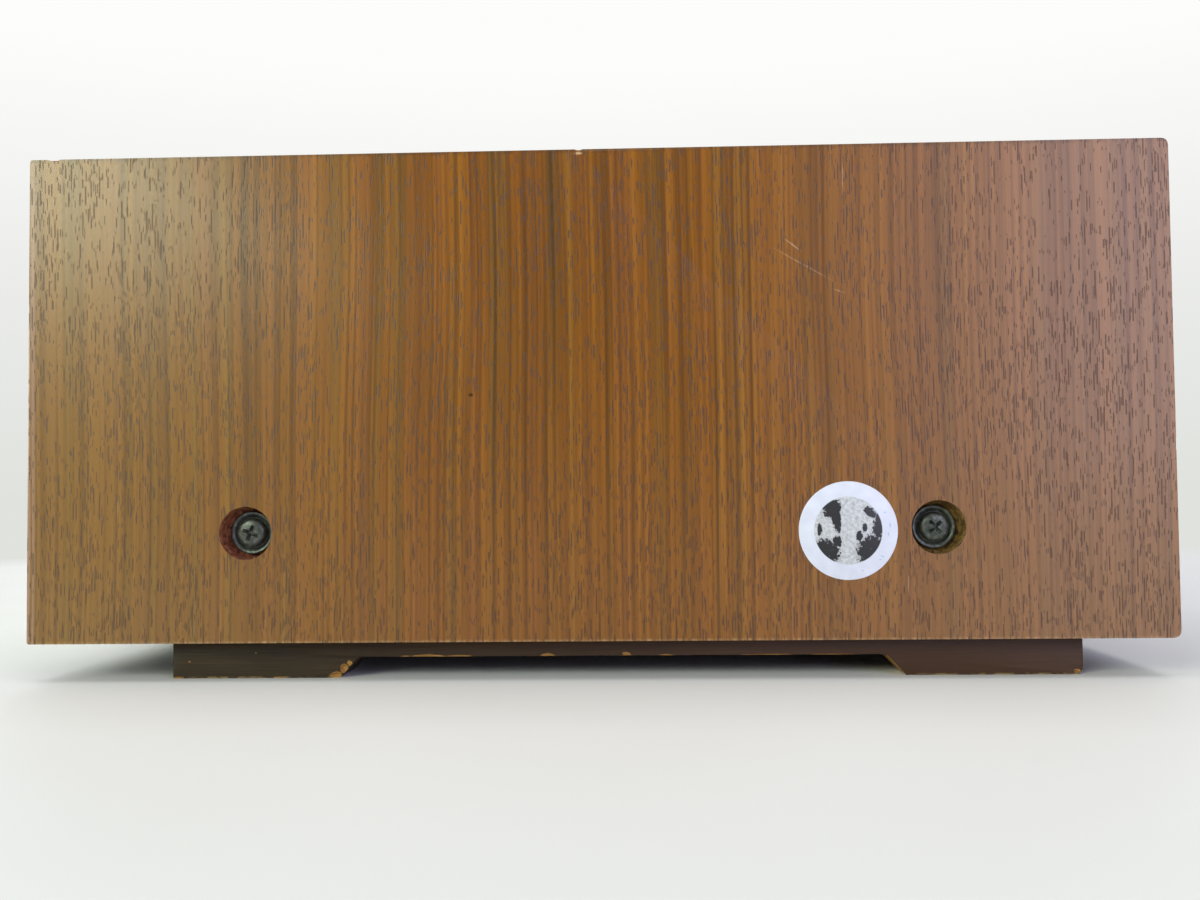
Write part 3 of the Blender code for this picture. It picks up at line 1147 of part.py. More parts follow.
# Speaker terminals: screw posts on a moulded block
speaker = block("speaker_terminals",
                (SPEAKER_X - speaker_half[0], fitting_foot, SPEAKER_RISE - speaker_half[1]),
                (SPEAKER_X + speaker_half[0], fitting_foot + SPEAKER_BLOCK, SPEAKER_RISE + speaker_half[1]),
                black_plastic)
speaker_places = grid((SPEAKER_X, SPEAKER_RISE), SPEAKER_COLUMNS, SPEAKER_ROWS, SPEAKER_PITCH_X,
                      SPEAKER_PITCH_Z)
join(speaker, rods("speaker_posts", speaker_places, SPEAKER_POST_RADIUS, fitting_foot + SPEAKER_BLOCK / 2,
                   fitting_foot + SPEAKER_BLOCK + SPEAKER_POST_LENGTH, sides=8))
join(speaker, studs("speaker", "speaker"))

# Antenna terminals: four screws on a block
antenna = block("antenna_terminals",
                (ANTENNA_X - antenna_half[0], fitting_foot, ANTENNA_RISE - antenna_half[1]),
                (ANTENNA_X + antenna_half[0], fitting_foot + ANTENNA_BLOCK, ANTENNA_RISE + antenna_half[1]),
                black_plastic)
antenna_places = grid((ANTENNA_X, ANTENNA_RISE), ANTENNA_COUNT, 1, ANTENNA_PITCH, ANTENNA_PITCH)
join(antenna, rods("antenna_screws", antenna_places, ANTENNA_SCREW_RADIUS, fitting_foot + ANTENNA_BLOCK / 2,
                   fitting_foot + ANTENNA_BLOCK + ANTENNA_SCREW_HEAD, sides=10))
join(antenna, studs("antenna", "antenna"))

# Bar antenna on an upright pin between two ears
bar_y = CASE_REAR + REAR_PROUD - BAR_RADIUS
ear_middle = BAR_RISE + BAR_RADIUS + GAP + BAR_EAR_SHEET / 2
ear_half = BAR_RADIUS
bracket_low, bracket_high = 2 * BAR_RISE - ear_middle - BAR_EAR_SHEET / 2, ear_middle + BAR_EAR_SHEET / 2
bracket = block("antenna_bracket", (BAR_PIVOT_X - ear_half, fitting_foot, bracket_low),
                (BAR_PIVOT_X + ear_half, fitting_foot + BAR_EAR_SHEET, bracket_high), black_plastic)
ear_pairs = [((BAR_PIVOT_X - ear_half / 2, fitting_foot + SINK, low),
              (BAR_PIVOT_X + ear_half / 2, bar_y + ear_half / 2, low + BAR_EAR_SHEET))
             for low in (bracket_low + SINK / 2, bracket_high - SINK / 2 - BAR_EAR_SHEET)]
join(bracket, blocks("antenna_ears", ear_pairs))
join(bracket, rods("antenna_pin", [(BAR_PIVOT_X, bar_y)], BAR_PIN_RADIUS, bracket_low + BAR_EAR_SHEET / 2,
                   bracket_high - BAR_EAR_SHEET / 2, sides=14, along="Z"))
join(bracket, studs("bracket", "bar"))
bar_end = BAR_PIVOT_X + BAR_EYE_RADIUS
bar_face = BAR_RADIUS - BAR_END_CHAMFER
bar_profile = [(0, 0), (bar_face, 0), (BAR_RADIUS, -BAR_END_CHAMFER),
               (BAR_RADIUS, BAR_END_CHAMFER - BAR_LENGTH),
               (bar_face, -BAR_LENGTH), (0, -BAR_LENGTH)]
bar_shape = turned("bar_turned", bar_profile, "+X", (bar_end, bar_y, BAR_RISE), steps=12)
eye = rods("bar_antenna", [(BAR_PIVOT_X, bar_y)], BAR_EYE_RADIUS, BAR_RISE - BAR_RADIUS + GAP,
           BAR_RISE + BAR_RADIUS - GAP, black_plastic, sides=16, along="Z")
join(eye, bar_shape)
cut(eye, rods("bar_eye_bore", [(BAR_PIVOT_X, bar_y)], BAR_PIN_RADIUS + GAP, BAR_RISE - BAR_RADIUS - OVERRUN,
              BAR_RISE + BAR_RADIUS + OVERRUN, sides=14, along="Z"))

# Fuse holder, outlet and grommet
fuse_profile = [(0, FUSE_LENGTH), (FUSE_NECK_RADIUS, FUSE_LENGTH), (FUSE_RADIUS, FUSE_LENGTH / 3),
                (FUSE_RADIUS, GAP), (FUSE_NECK_RADIUS, GAP),
                (FUSE_NECK_RADIUS, -FUSE_TAIL), (0, -FUSE_TAIL)]
turned("fuse_holder", fuse_profile, "+Y", (FUSE_X, REAR_FACE, FUSE_RISE), black_plastic, steps=14)

outlet_half = (OUTLET_WIDTH / 2, OUTLET_HEIGHT / 2)
outlet_outline = rounded((OUTLET_X - outlet_half[0], OUTLET_RISE - outlet_half[1]),
                         (OUTLET_X + outlet_half[0], OUTLET_RISE + outlet_half[1]), OUTLET_CORNER)
outlet_loops = [outlet_outline]
for column in (-1, 1):
    slot_x = OUTLET_X + column * OUTLET_SLOT_SPACING / 2
    for row in (-1, 1):
        slot_z = OUTLET_RISE + row * OUTLET_HEIGHT / 5
        outlet_loops.append([(slot_x + across * OUTLET_SLOT_WIDTH / 2, slot_z + up * OUTLET_SLOT_HEIGHT / 2)
                             for across, up in ((-1, -1), (1, -1), (1, 1), (-1, 1))])
outlet = flat("power_outlet", outlet_loops, OUTLET_DEPTH, FRONT_VIEW,
              (0, fitting_foot + OUTLET_DEPTH / 2, 0),
              black_plastic)
join(outlet, studs("outlet", "outlet"))

grommet_profile = [(GROMMET_BORE_RADIUS, GROMMET_FLANGE), (GROMMET_FLANGE_RADIUS - GAP, GROMMET_FLANGE),
                   (GROMMET_FLANGE_RADIUS, GROMMET_FLANGE - GAP), (GROMMET_FLANGE_RADIUS, GAP),
                   (GROMMET_NECK_RADIUS, GAP), (GROMMET_NECK_RADIUS, -SHEET - GROMMET_INSIDE),
                   (GROMMET_BORE_RADIUS, -SHEET - GROMMET_INSIDE)]
turned("cord_grommet", grommet_profile, "+Y", (GROMMET_X, REAR_FACE, GROMMET_RISE), black_plastic, steps=16,
       ring=True)

# Power transformer: a laminated core between two wound bells, on two foot strips
deck = TRAY_FLOOR + GAP
half_long, half_deep, tall = TRANSFORMER_WIDTH / 2, TRANSFORMER_DEPTH / 2, TRANSFORMER_HEIGHT
core_half = half_deep * TRANSFORMER_CORE_SHARE
core = block("power_transformer", (TRANSFORMER_X - half_long, TRANSFORMER_Y - core_half, deck),
             (TRANSFORMER_X + half_long, TRANSFORMER_Y + core_half, deck + tall), core_paint)
bell_x, bell_y, bell_z = TRANSFORMER_BELL_SHARES
bell_low = deck + tall * (1 - bell_z) / 2
bell = block("transformer_bell",
             (TRANSFORMER_X - half_long * bell_x, TRANSFORMER_Y - half_deep * bell_y, bell_low),
             (TRANSFORMER_X + half_long * bell_x, TRANSFORMER_Y + half_deep * bell_y,
              bell_low + tall * bell_z))
soften(bell, half_deep / 4, 2)
join(core, bell)
foot_reach = half_deep + TRANSFORMER_FOOT_REACH
join(core,
     block("transformer_foot", (TRANSFORMER_X - half_long + SHEET, TRANSFORMER_Y - foot_reach, deck + GAP),
                 (TRANSFORMER_X + half_long - SHEET, TRANSFORMER_Y + foot_reach, deck + TRANSFORMER_FOOT)))

# Heat sink: an upright extrusion with fins towards the front
sink_back = REAR_INSIDE - SINK_FROM_REAR
sink_pitch = (SINK_RIGHT - SINK_LEFT - SINK_FIN_SHEET) / (SINK_FINS - 1)
fin_root = sink_back - SINK_BASE
comb = [(SINK_RIGHT, sink_back), (SINK_LEFT, sink_back)]
for index in range(SINK_FINS):
    fin_left = SINK_LEFT + sink_pitch * index
    fin_tip = fin_root - SINK_FIN_HEIGHT
    crown = SINK_FIN_SHEET / 4
    fin = [(fin_left, fin_root), (fin_left + crown, fin_tip), (fin_left + SINK_FIN_SHEET - crown, fin_tip),
           (fin_left + SINK_FIN_SHEET, fin_root - GAP)]
    if index == 0:
        fin = fin[1:]
    if index == SINK_FINS - 1:
        fin = fin[:-1]
    comb += fin
flat("heat_sink", [comb], SINK_HEIGHT, PLAN_VIEW, (0, 0, deck + SINK_HEIGHT / 2), black_anodised)

# Amplifier board on posts, with its two filter capacitors
amp_low = deck + AMP_POST
amp_start, amp_end = behind(AMP_START), behind(AMP_START + AMP_LENGTH)
amp = block("amplifier_board", (AMP_LEFT, amp_start, amp_low), (AMP_RIGHT, amp_end, amp_low + PCB),
            brown_board)
inset = AMP_POST_RADIUS * 2
post_places = [(x, y) for x in (AMP_LEFT + inset, AMP_RIGHT - inset) for y in (amp_start + inset,
                                                                               amp_end - inset)]
join(amp, rods("amp_posts", post_places, AMP_POST_RADIUS, deck, amp_low + PCB / 2, sides=8, along="Z"))
can_places = [(CAPACITOR_FIRST_X + CAPACITOR_PITCH * index,
               behind(CAPACITOR_DEPTH)) for index in range(CAPACITOR_COUNT)]
join(amp,
     rods("capacitors", can_places, CAPACITOR_RADIUS, amp_low + PCB / 2, amp_low + PCB + CAPACITOR_HEIGHT,
               sides=16, along="Z"))
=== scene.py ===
"""The looks of a stereo receiver in a walnut case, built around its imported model.

Metres, +Z up. The front faces -Y, and the photographed side board faces +X.
"""

import random
from math import atan2, cos, pi, radians, sin

import bmesh
import bpy
from mathutils import Matrix, Vector


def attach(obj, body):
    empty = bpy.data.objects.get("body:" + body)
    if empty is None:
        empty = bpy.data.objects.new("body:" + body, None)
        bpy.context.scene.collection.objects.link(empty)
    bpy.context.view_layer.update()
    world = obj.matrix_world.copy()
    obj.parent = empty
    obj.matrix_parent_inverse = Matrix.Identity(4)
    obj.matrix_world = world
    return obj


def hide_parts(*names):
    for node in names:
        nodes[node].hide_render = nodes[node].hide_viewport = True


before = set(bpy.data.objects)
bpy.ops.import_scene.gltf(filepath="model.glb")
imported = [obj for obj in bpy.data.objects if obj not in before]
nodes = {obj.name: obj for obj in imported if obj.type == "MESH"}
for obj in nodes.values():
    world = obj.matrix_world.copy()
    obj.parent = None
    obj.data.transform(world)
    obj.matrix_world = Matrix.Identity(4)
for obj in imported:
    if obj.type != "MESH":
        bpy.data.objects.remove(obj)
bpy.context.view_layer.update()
scene = bpy.context.scene
scene.view_settings.view_transform = "Standard"

# The viewpoint.
# The camera stands 0.37 m from the right-hand side board, 20 mm behind the case's middle and
# below the board's, and looks slightly up.

EYE = Vector((0.61232, 0.01990, 0.05958))
YAW = radians(-1.9323)
PITCH = radians(2.0517)
ROLL = radians(-0.5791)
ahead = Vector((-cos(YAW) * cos(PITCH), sin(YAW) * cos(PITCH), sin(PITCH)))
level = Vector((sin(YAW), cos(YAW), 0))
upright = level.cross(ahead)
right = cos(ROLL) * level + sin(ROLL) * upright
up = cos(ROLL) * upright - sin(ROLL) * level
camera = bpy.data.objects.new("camera", bpy.data.cameras.new("camera"))
scene.collection.objects.link(camera)
camera.matrix_world = Matrix.Translation(EYE) @ Matrix((right, up, -ahead)).transposed().to_4x4()
camera.data.sensor_width = 36
camera.data.lens = 35.216
camera.data.clip_start = 0.01
scene.camera = camera

# The room.
# A pale painted bench that runs into a white wall. Two wide soft lamps stand either side of
# the camera, so that a satin board shows their haze near its two ends. One hangs above, and
# one lights the far side.


def linear(hex_colour, alpha=1.0):
    """The linear colour of an sRGB hex value."""
    parts = [int(hex_colour[i : i + 2], 16) / 255 for i in (1, 3, 5)]
    return tuple(c / 12.92 if c <= 0.04045 else ((c + 0.055) / 1.055) ** 2.4 for c in parts) + (alpha,)


def add(tree, kind, inputs=None, stops=None, **settings):
    """Adds a shader node. Its inputs are values, sockets, or nodes that give their first output."""
    made = tree.nodes.new("ShaderNode" + kind)
    for name, value in settings.items():
        setattr(made, name, value)
    for key, value in (inputs or {}).items():
        if isinstance(value, bpy.types.Node):
            value = value.outputs[0]
        if isinstance(value, bpy.types.NodeSocket):
            tree.links.new(value, made.inputs[key])
        else:
            made.inputs[key].default_value = value
    if stops:
        marks = made.color_ramp.elements
        while len(marks) < len(stops):
            marks.new(0.5)
        for mark, (place, colour) in zip(marks, stops):
            mark.position = place
            mark.color = linear(colour) if isinstance(colour, str) else (colour, colour, colour, 1)
    return made


def material(name):
    """A new empty node material and its tree."""
    made = bpy.data.materials.new(name)
    made.use_nodes = True
    made.node_tree.nodes.clear()
    return made, made.node_tree


def finish(tree, **sockets):
    """The material's one surface, with the Principled sockets given."""
    names = {k.replace("_", " ").title().replace("Ior", "IOR"): v for k, v in sockets.items()}
    surface = add(tree, "BsdfPrincipled", names)
    add(tree, "OutputMaterial", {"Surface": surface})
    return surface


def mesh_object(name, form, sharp=35):
    """An object from a bmesh, smooth but for its edges sharper than an angle. The bmesh is freed."""
    mesh = bpy.data.meshes.new(name)
    form.to_mesh(mesh)
    form.free()
    mesh.shade_smooth()
    mesh.set_sharp_from_angle(angle=radians(sharp))
    made = bpy.data.objects.new(name, mesh)
    scene.collection.objects.link(made)
    return made


ROOM_HALF = 6.0
BENCH_REACH = (0.64, 0.80)  # where the bench's grey has gone over into the wall's
WALL_FOOT = "#e0e2de"

# Matt emulsion paint, rolled: a faint mottle. Its far part shows the wall's own tone
paint, tree = material("rolled_matt_paint")
place = add(tree, "TexCoord").outputs["Object"]
mottle = add(tree, "TexNoise", {"Vector": place, "Scale": 9.0, "Detail": 3.0})
tint = add(tree, "ValToRGB", {"Fac": mottle}, [(0.3, "#e7e7e4"), (0.7, "#eaeae7")])
bench = add(tree, "BsdfPrincipled", {"Base Color": tint, "Roughness": 0.55})
wall = add(tree, "Emission", {"Color": linear(WALL_FOOT)})
path = add(tree, "LightPath")
shown = add(tree, "Math", {0: path.outputs["Is Camera Ray"], 1: path.outputs["Is Glossy Ray"]},
            operation="MAXIMUM")
shown = add(tree, "Math", {0: shown, 1: path.outputs["Is Transmission Ray"]}, operation="MAXIMUM")
away = add(tree, "VectorMath", {0: place}, operation="LENGTH")
away = add(tree, "MapRange", {0: away.outputs["Value"], 1: BENCH_REACH[0], 2: BENCH_REACH[1]})
share = add(tree, "Math", {0: shown, 1: away}, operation="MULTIPLY")
both = add(tree, "MixShader", {0: share, 1: bench, 2: wall})
add(tree, "OutputMaterial", {"Surface": both})

form = bmesh.new()
bmesh.ops.create_grid(form, x_segments=1, y_segments=1, size=ROOM_HALF)
floor = mesh_object("bench_top", form)
floor.data.materials.append(paint)

world = bpy.data.worlds.new("room")
scene.world = world
world.use_nodes = True
tree = world.node_tree
tree.nodes.clear()
path = add(tree, "LightPath")
mirrored = add(tree, "Math", {0: path.outputs["Is Glossy Ray"], 1: path.outputs["Is Transmission Ray"]},
               operation="MAXIMUM")
# Towards +X the room is dim, so a surface that faces there mirrors little light
aim = add(tree, "SeparateXYZ", {0: add(tree, "TexCoord").outputs["Generated"]})
dim = add(tree, "MapRange", {0: aim.outputs["X"], 1: 0.78, 2: 0.97, 3: 1.0, 4: 0.05})
height = add(tree, "MapRange", {0: aim.outputs["Z"], 1: 0.0, 2: 0.4})
pale = add(tree, "ValToRGB", {0: height}, [(0.0, WALL_FOOT), (0.4, "#ebecea"), (0.85, "#fdfdfb")])
lit = add(tree, "Background", {"Color": linear("#eef2fa"), "Strength": 0.30})
mirror = add(tree, "Background", {"Color": linear("#f6f8fb"), "Strength": dim})
shown = add(tree, "Background", {"Color": pale, "Strength": 1.0})
both = add(tree, "MixShader", {0: mirrored, 1: lit, 2: mirror})
both = add(tree, "MixShader", {0: path.outputs["Is Camera Ray"], 1: both, 2: shown})
add(tree, "OutputWorld", {"Surface": both})


def lamp(name, place, target, width, height, watts, colour):
    """A soft rectangular lamp that faces a point."""
    light = bpy.data.lights.new(name, "AREA")
    light.shape = "RECTANGLE"
    light.size = width
    light.size_y = height
    light.energy = watts
    light.color = linear(colour)[:3]
    made = bpy.data.objects.new(name, light)
    scene.collection.objects.link(made)
    made.location = place
    made.rotation_euler = (Vector(target) - Vector(place)).to_track_quat("-Z", "Y").to_euler()


lamp("window_ahead", (2.3, -1.60, 1.06), (0.0, 0.0, 0.08), 1.5, 0.95, 52, "#effde4")
lamp("window_behind", (2.2, 1.5, 0.80), (0.0, 0.0, 0.06), 1.6, 1.7, 33, "#d8d4ff")
lamp("ceiling", (0.3, 0.0, 2.4), (0.0, 0.0, 0.0), 2.4, 2.4, 34, "#ffffff")
lamp("far_side", (-2.4, -0.6, 1.4), (0.0, 0.0, 0.08), 1.4, 1.4, 16, "#ffffff")

# The side boards.
# Two boards of chipboard faced with walnut veneer, grain upright, rubbed with a satin lacquer.
# Each is held by two screws sunk in counterbores. The right one is the photographed one: its
# lower rear corner is worn round and its upper front corner has a small nick.

BOARD_FACE = 0.240
MM = 0.001


def grain(tree, along, across, waver=0.004):
    """A vector that runs across, along and through the grain of a board, in metres."""
    axes = add(tree, "SeparateXYZ", {0: add(tree, "TexCoord").outputs["Object"]})
    third = next(axis for axis in "XYZ" if axis not in (along, across))
    side = add(tree, "Math", {0: axes.outputs[across], 1: axes.outputs[third]}, operation="ADD")
    slow = add(tree, "CombineXYZ", {0: side, 1: axes.outputs[along], 2: 0.0})
    bend = add(tree, "Mapping", {0: slow, "Scale": (9.0, 5.0, 1.0)})
    bend = add(tree, "TexNoise", {"Vector": bend, "Scale": 1.0, "Detail": 1.0})
    shift = add(tree, "MapRange", {0: bend, 3: -waver, 4: waver})
    moved = add(tree, "Math", {0: side, 1: shift}, operation="ADD")
    return moved, axes.outputs[along]


def streaks(tree, across, along, width, length, seed, detail=2.0):
    """Noise drawn out along the grain: streaks of a width and a length in metres."""
    place = add(tree, "CombineXYZ", {0: across, 1: along, 2: seed})
    place = add(tree, "Mapping", {0: place, "Scale": (1 / width, 1 / length, 1.0)})
    return add(tree, "TexNoise", {"Vector": place, "Scale": 1.0, "Detail": detail})


def pores(tree, across, along, pitch, length, seed, limit):
    """Dashes in strands side by side, each strand out of step with the next: 1 in a pore."""
    strand = add(tree, "Math", {0: across, 1: 1 / pitch, 2: seed}, operation="MULTIPLY_ADD")
    number = add(tree, "Math", {0: strand}, operation="FLOOR")
    step = add(tree, "TexWhiteNoise", {"W": number}, noise_dimensions="1D")
    offset = add(tree, "Math", {0: step, 1: 97.0}, operation="MULTIPLY")
    reach = add(tree, "Math", {0: along, 1: 1 / length, 2: offset}, operation="MULTIPLY_ADD")
    dash = add(tree, "TexNoise", {"W": reach, "Scale": 1.0, "Detail": 1.0}, noise_dimensions="1D")
    over = add(tree, "Math", {0: dash, 1: limit}, operation="SUBTRACT")
    mark = add(tree, "MapRange", {0: over, 1: 0.0, 2: 0.03})
    inside = add(tree, "Math", {0: strand}, operation="FRACT")
    inside = add(tree, "Math", {0: inside, 1: 0.5}, operation="SUBTRACT")
    inside = add(tree, "Math", {0: inside}, operation="ABSOLUTE")
    inside = add(tree, "MapRange", {0: inside, 1: 0.32, 2: 0.14})
    return add(tree, "Math", {0: mark, 1: inside}, operation="MULTIPLY")


# The heavier bands that stand out on this leaf: middle and half width in mm from the
# front edge, and tone, where 0.5 is plain brown, less is heartwood and more is paler
PLAIN = 0.5
HEAVY = (
    (50, 6, 0.44), (88, 4, 0.42), (148, 8, 0.45), (183, 5, 0.38), (198, 6, 0.60),
    (246, 9, 0.56), (308, 6, 0.58), (327, 4, 0.42), (346, 5, 0.45),
)
LEAF_WIDTH = 365
BANDS = [(0, PLAIN), (LEAF_WIDTH, PLAIN)]
for middle, half, tone in HEAVY:
    BANDS += [(middle - half, PLAIN), (middle, tone), (middle + half, PLAIN)]
BANDS.sort()
BOARD_DEPTH = 0.365
FRONT_EDGE = -0.1775


def walnut(name, along, across, seed, bands=None, tint=None):
    """Walnut veneer, sliced and lacquered: brown bands with fine dark pores, in satin."""
    made, tree = material(name)
    side, run = grain(tree, along, across)
    broad = streaks(tree, side, run, 18 * MM, 420 * MM, seed)
    middle = streaks(tree, side, run, 3 * MM, 300 * MM, seed + 3)
    fine = streaks(tree, side, run, 1.0 * MM, 110 * MM, seed + 7, 2.0)
    tone = add(tree, "MapRange", {0: broad, 1: 0.3, 2: 0.7, 3: -0.09, 4: 0.09})
    for part, swing in ((middle, 0.12), (fine, 0.15)):
        each = add(tree, "MapRange", {0: part, 1: 0.3, 2: 0.7, 3: -swing, 4: swing})
        tone = add(tree, "Math", {0: tone, 1: each}, operation="ADD")
    if bands:
        share = add(tree, "MapRange", {0: side, 1: FRONT_EDGE + BOARD_FACE,
                                       2: FRONT_EDGE + BOARD_DEPTH + BOARD_FACE})
        drawn = add(tree, "ValToRGB", {0: share}, [(at / LEAF_WIDTH, level) for at, level in bands])
        tone = add(tree, "Math", {0: drawn, 1: tone}, operation="ADD")
    else:
        tone = add(tree, "Math", {0: tone, 1: PLAIN}, operation="ADD")
    brown = add(tree, "ValToRGB", {0: tone}, [
        (0.05, "#43270a"), (0.3, "#5f390c"), (0.5, "#7a480a"), (0.68, "#8b5712"), (0.95, "#a26e28")])
    # Neighbouring strips of the leaf lean to olive or to pink
    strip = streaks(tree, side, run, 6 * MM, 500 * MM, seed + 23, 2.0)
    lean = add(tree, "ValToRGB", {"Fac": strip}, [(0.36, "#66562a"), (0.5, "#7e4c13"), (0.64, "#8a5430")])
    olive = add(tree, "MapRange", {0: side, 1: FRONT_EDGE + BOARD_FACE, 2: FRONT_EDGE + BOARD_FACE + 0.2,
                                   3: 0.42, 4: 0.20})
    colour = add(tree, "Mix", {0: olive, 6: brown, 7: lean}, data_type="RGBA").outputs[2]
    if tint:
        colour = tint(tree, colour, side, run)
    # Thin lines of dark wood run the whole height of the leaf, under the fading and the painted sheen and
    # shade as well
    line = streaks(tree, side, run, 1.6 * MM, 600 * MM, seed + 31, 3.0)
    shade = add(tree, "MapRange", {0: line, 1: 0.34, 2: 0.56, 3: 0.66, 4: 1.05})
    colour = add(tree, "Mix", {0: 1.0, 6: colour, 7: shade}, data_type="RGBA",
                 blend_type="MULTIPLY").outputs[2]
    # Pores: open vessels 0.3 to 0.4 mm wide and some millimetres long, crowded in some bands
    crowd = streaks(tree, side, run, 7 * MM, 60 * MM, seed + 13, 1.0)
    limit = add(tree, "MapRange", {0: crowd, 1: 0.35, 2: 0.65, 3: 0.66, 4: 0.54})
    dashes = pores(tree, side, run, 0.62 * MM, 5 * MM, seed + 11, limit)
    lines = pores(tree, side, run, 0.94 * MM, 10 * MM, seed + 17, limit)
    pore = add(tree, "Math", {0: dashes, 1: lines}, operation="MAXIMUM")
    dark_share = add(tree, "Math", {0: pore, 1: 0.78}, operation="MULTIPLY")
    dark = add(tree, "Mix", {0: dark_share, 6: colour, 7: linear("#3f2612")}, data_type="RGBA")
    gloss = add(tree, "MapRange", {0: pore, 3: 0.26, 4: 0.42})
    height = add(tree, "MapRange", {0: pore, 3: 0.0, 4: -1.0})
    fibre = add(tree, "Math", {0: fine, 1: 0.35, 2: height}, operation="MULTIPLY_ADD")
    bump = add(tree, "Bump", {"Height": fibre, "Strength": 0.14, "Distance": 0.1 * MM})
    finish(tree, base_color=dark.outputs[2], roughness=gloss, specular_ior_level=0.42, normal=bump)
    return made


def stroke(tree, place, middle, length, width, turn=0.0):
    """A soft-edged mark: 1 in the middle of an ellipse of that length, width and turn, and 0 outside it."""
    local = add(tree, "Mapping", {0: place, "Location": (*middle, 0), "Rotation": (0, 0, turn),
                                  "Scale": (length / 2, width / 2, 1)}, vector_type="TEXTURE")
    reach = add(tree, "VectorMath", {0: local}, operation="LENGTH")
    return add(tree, "MapRange", {0: reach.outputs["Value"], 1: 1.0, 2: 0.45})


# Marks on the photographed face: middle (y, z), length, width, turn in degrees, colour, strength
MARKS = (
    ((-0.0340, 0.0910), 1.9 * MM, 1.5 * MM, 0, "#2c1a0c", 0.85),  # a small burnt knot
    ((0.0855, 0.1590), 11 * MM, 0.5 * MM, 90, "#c3a88c", 0.45),  # scratches in the lacquer
    ((0.0730, 0.1310), 27 * MM, 0.5 * MM, -30, "#b79a78", 0.40),
    ((0.0695, 0.1375), 8 * MM, 0.6 * MM, -38, "#c0a585", 0.45),
    ((0.0840, 0.1225), 6 * MM, 0.45 * MM, -20, "#bda182", 0.40),
    ((0.1030, 0.0300), 7 * MM, 0.35 * MM, 90, "#b8957a", 0.50),
    ((-0.1490, 0.0560), 9 * MM, 0.35 * MM, 88, "#b89a6a", 0.35),
    ((0.0012, 0.1682), 3.2 * MM, 1.1 * MM, 0, "#c8a47a", 0.75),  # a chip in the top edge
)
BOARD_FOOT = 0.0125
BOARD_TOP = 0.1695


def weathered(tree, colour, side, run):
    """The photographed board is greyer and pinker towards its rear edge from fading, and tan towards the
    front, where the tan is partly sunned wood and partly a painted sheen. Its foot is darker with painted
    shade.
    """
    def blend(share, tone):
        return add(tree, "Mix", {0: share, 6: colour, 7: linear(tone)}, data_type="RGBA").outputs[2]

    # Rear: the wood fades to grey-pink. Front: a tan that is partly sunned wood and partly painted sheen
    for begin, full, fade_and_sheen_tone, most in ((0.60, 0.95, "#8a6a50", 0.58), (0.36, 0.04, "#7c642e", 0.50)):
        low, high = (FRONT_EDGE + BOARD_FACE + BOARD_DEPTH * share for share in (begin, full))
        share = add(tree, "MapRange", {0: side, 1: low, 2: high, 3: 0.0, 4: most})
        colour = blend(share, fade_and_sheen_tone)
    # Painted shade: the board darkens towards its foot, as if lit from above
    painted_foot_shade = add(tree, "MapRange", {0: run, 1: BOARD_FOOT, 2: BOARD_TOP, 3: 0.16, 4: 0.0})
    colour = blend(painted_foot_shade, "#6a4a22")
    # The edges are rubbed: pale specks along the foot, a pale front edge, a dark line at the mitre
    place = add(tree, "CombineXYZ", {0: add(tree, "Math", {0: side, 1: -BOARD_FACE}), 1: run})
    rub = streaks(tree, side, run, 1.6 * MM, 300 * MM, 5.0)
    rub = add(tree, "MapRange", {0: rub, 1: 0.42, 2: 0.62, 3: 0.15, 4: 0.85})
    for axis, begin, full, tone in ((run, BOARD_FOOT + 0.9 * MM, BOARD_FOOT + 0.2 * MM, "#a88a63"),
                                    (side, FRONT_EDGE + BOARD_FACE + 3.2 * MM, FRONT_EDGE + BOARD_FACE,
                                     "#a88473"),
                                    (run, BOARD_TOP - 1.4 * MM, BOARD_TOP - 0.5 * MM, "#4a3420")):
        share = add(tree, "MapRange", {0: axis, 1: begin, 2: full})
        share = add(tree, "Math", {0: share, 1: rub}, operation="MULTIPLY")
        share = add(tree, "Math", {0: share, 1: 0.7}, operation="MULTIPLY")
        colour = blend(share, tone)
    for middle, length, width, turn, tone, strength in MARKS:
        share = stroke(tree, place, middle, length, width, radians(turn))
        share = add(tree, "Math", {0: share, 1: strength}, operation="MULTIPLY")
        colour = blend(share, tone)
    return colour


veneer_right = walnut("sliced_walnut_veneer_right_board", "Z", "Y", 1.0, BANDS, weathered)
veneer_left = walnut("sliced_walnut_veneer_left_board", "Z", "Y", 41.0)
veneer_top = walnut("sliced_walnut_veneer_top_board", "X", "Y", 83.0)

# Bored chipboard, stained by hand round the bore: dark brown chips, redder to the front
bored, tree = material("bored_chipboard")
place = add(tree, "TexCoord").outputs["Object"]
chips = add(tree, "TexVoronoi", {"Vector": place, "Scale": 1 / (1.4 * MM), "Randomness": 1.0})
chip = add(tree, "SeparateColor", {0: chips.outputs["Color"]})
fibres = add(tree, "TexNoise", {"Vector": place, "Scale": 1 / (0.5 * MM), "Detail": 3.0})
red = add(tree, "ValToRGB", {"Fac": chip}, [(0.0, "#4a2413"), (0.55, "#8a4a22"), (1.0, "#a56c4c")])
yellow = add(tree, "ValToRGB", {"Fac": chip}, [(0.0, "#3c2a0c"), (0.55, "#75551a"), (1.0, "#93733a")])
rear = add(tree, "MapRange", {0: add(tree, "SeparateXYZ", {0: place}).outputs["Y"], 1: -0.05, 2: 0.05})
tone = add(tree, "Mix", {0: rear, 6: red, 7: yellow}, data_type="RGBA")
dim = add(tree, "MapRange", {0: fibres, 1: 0.3, 2: 0.7, 3: 0.7, 4: 1.1})
tone = add(tree, "VectorMath", {0: tone.outputs[2], 1: dim}, operation="MULTIPLY")
bump = add(tree, "Bump", {"Height": fibres, "Strength": 0.5, "Distance": 0.2 * MM})
finish(tree, base_color=tone, roughness=0.8, normal=bump)

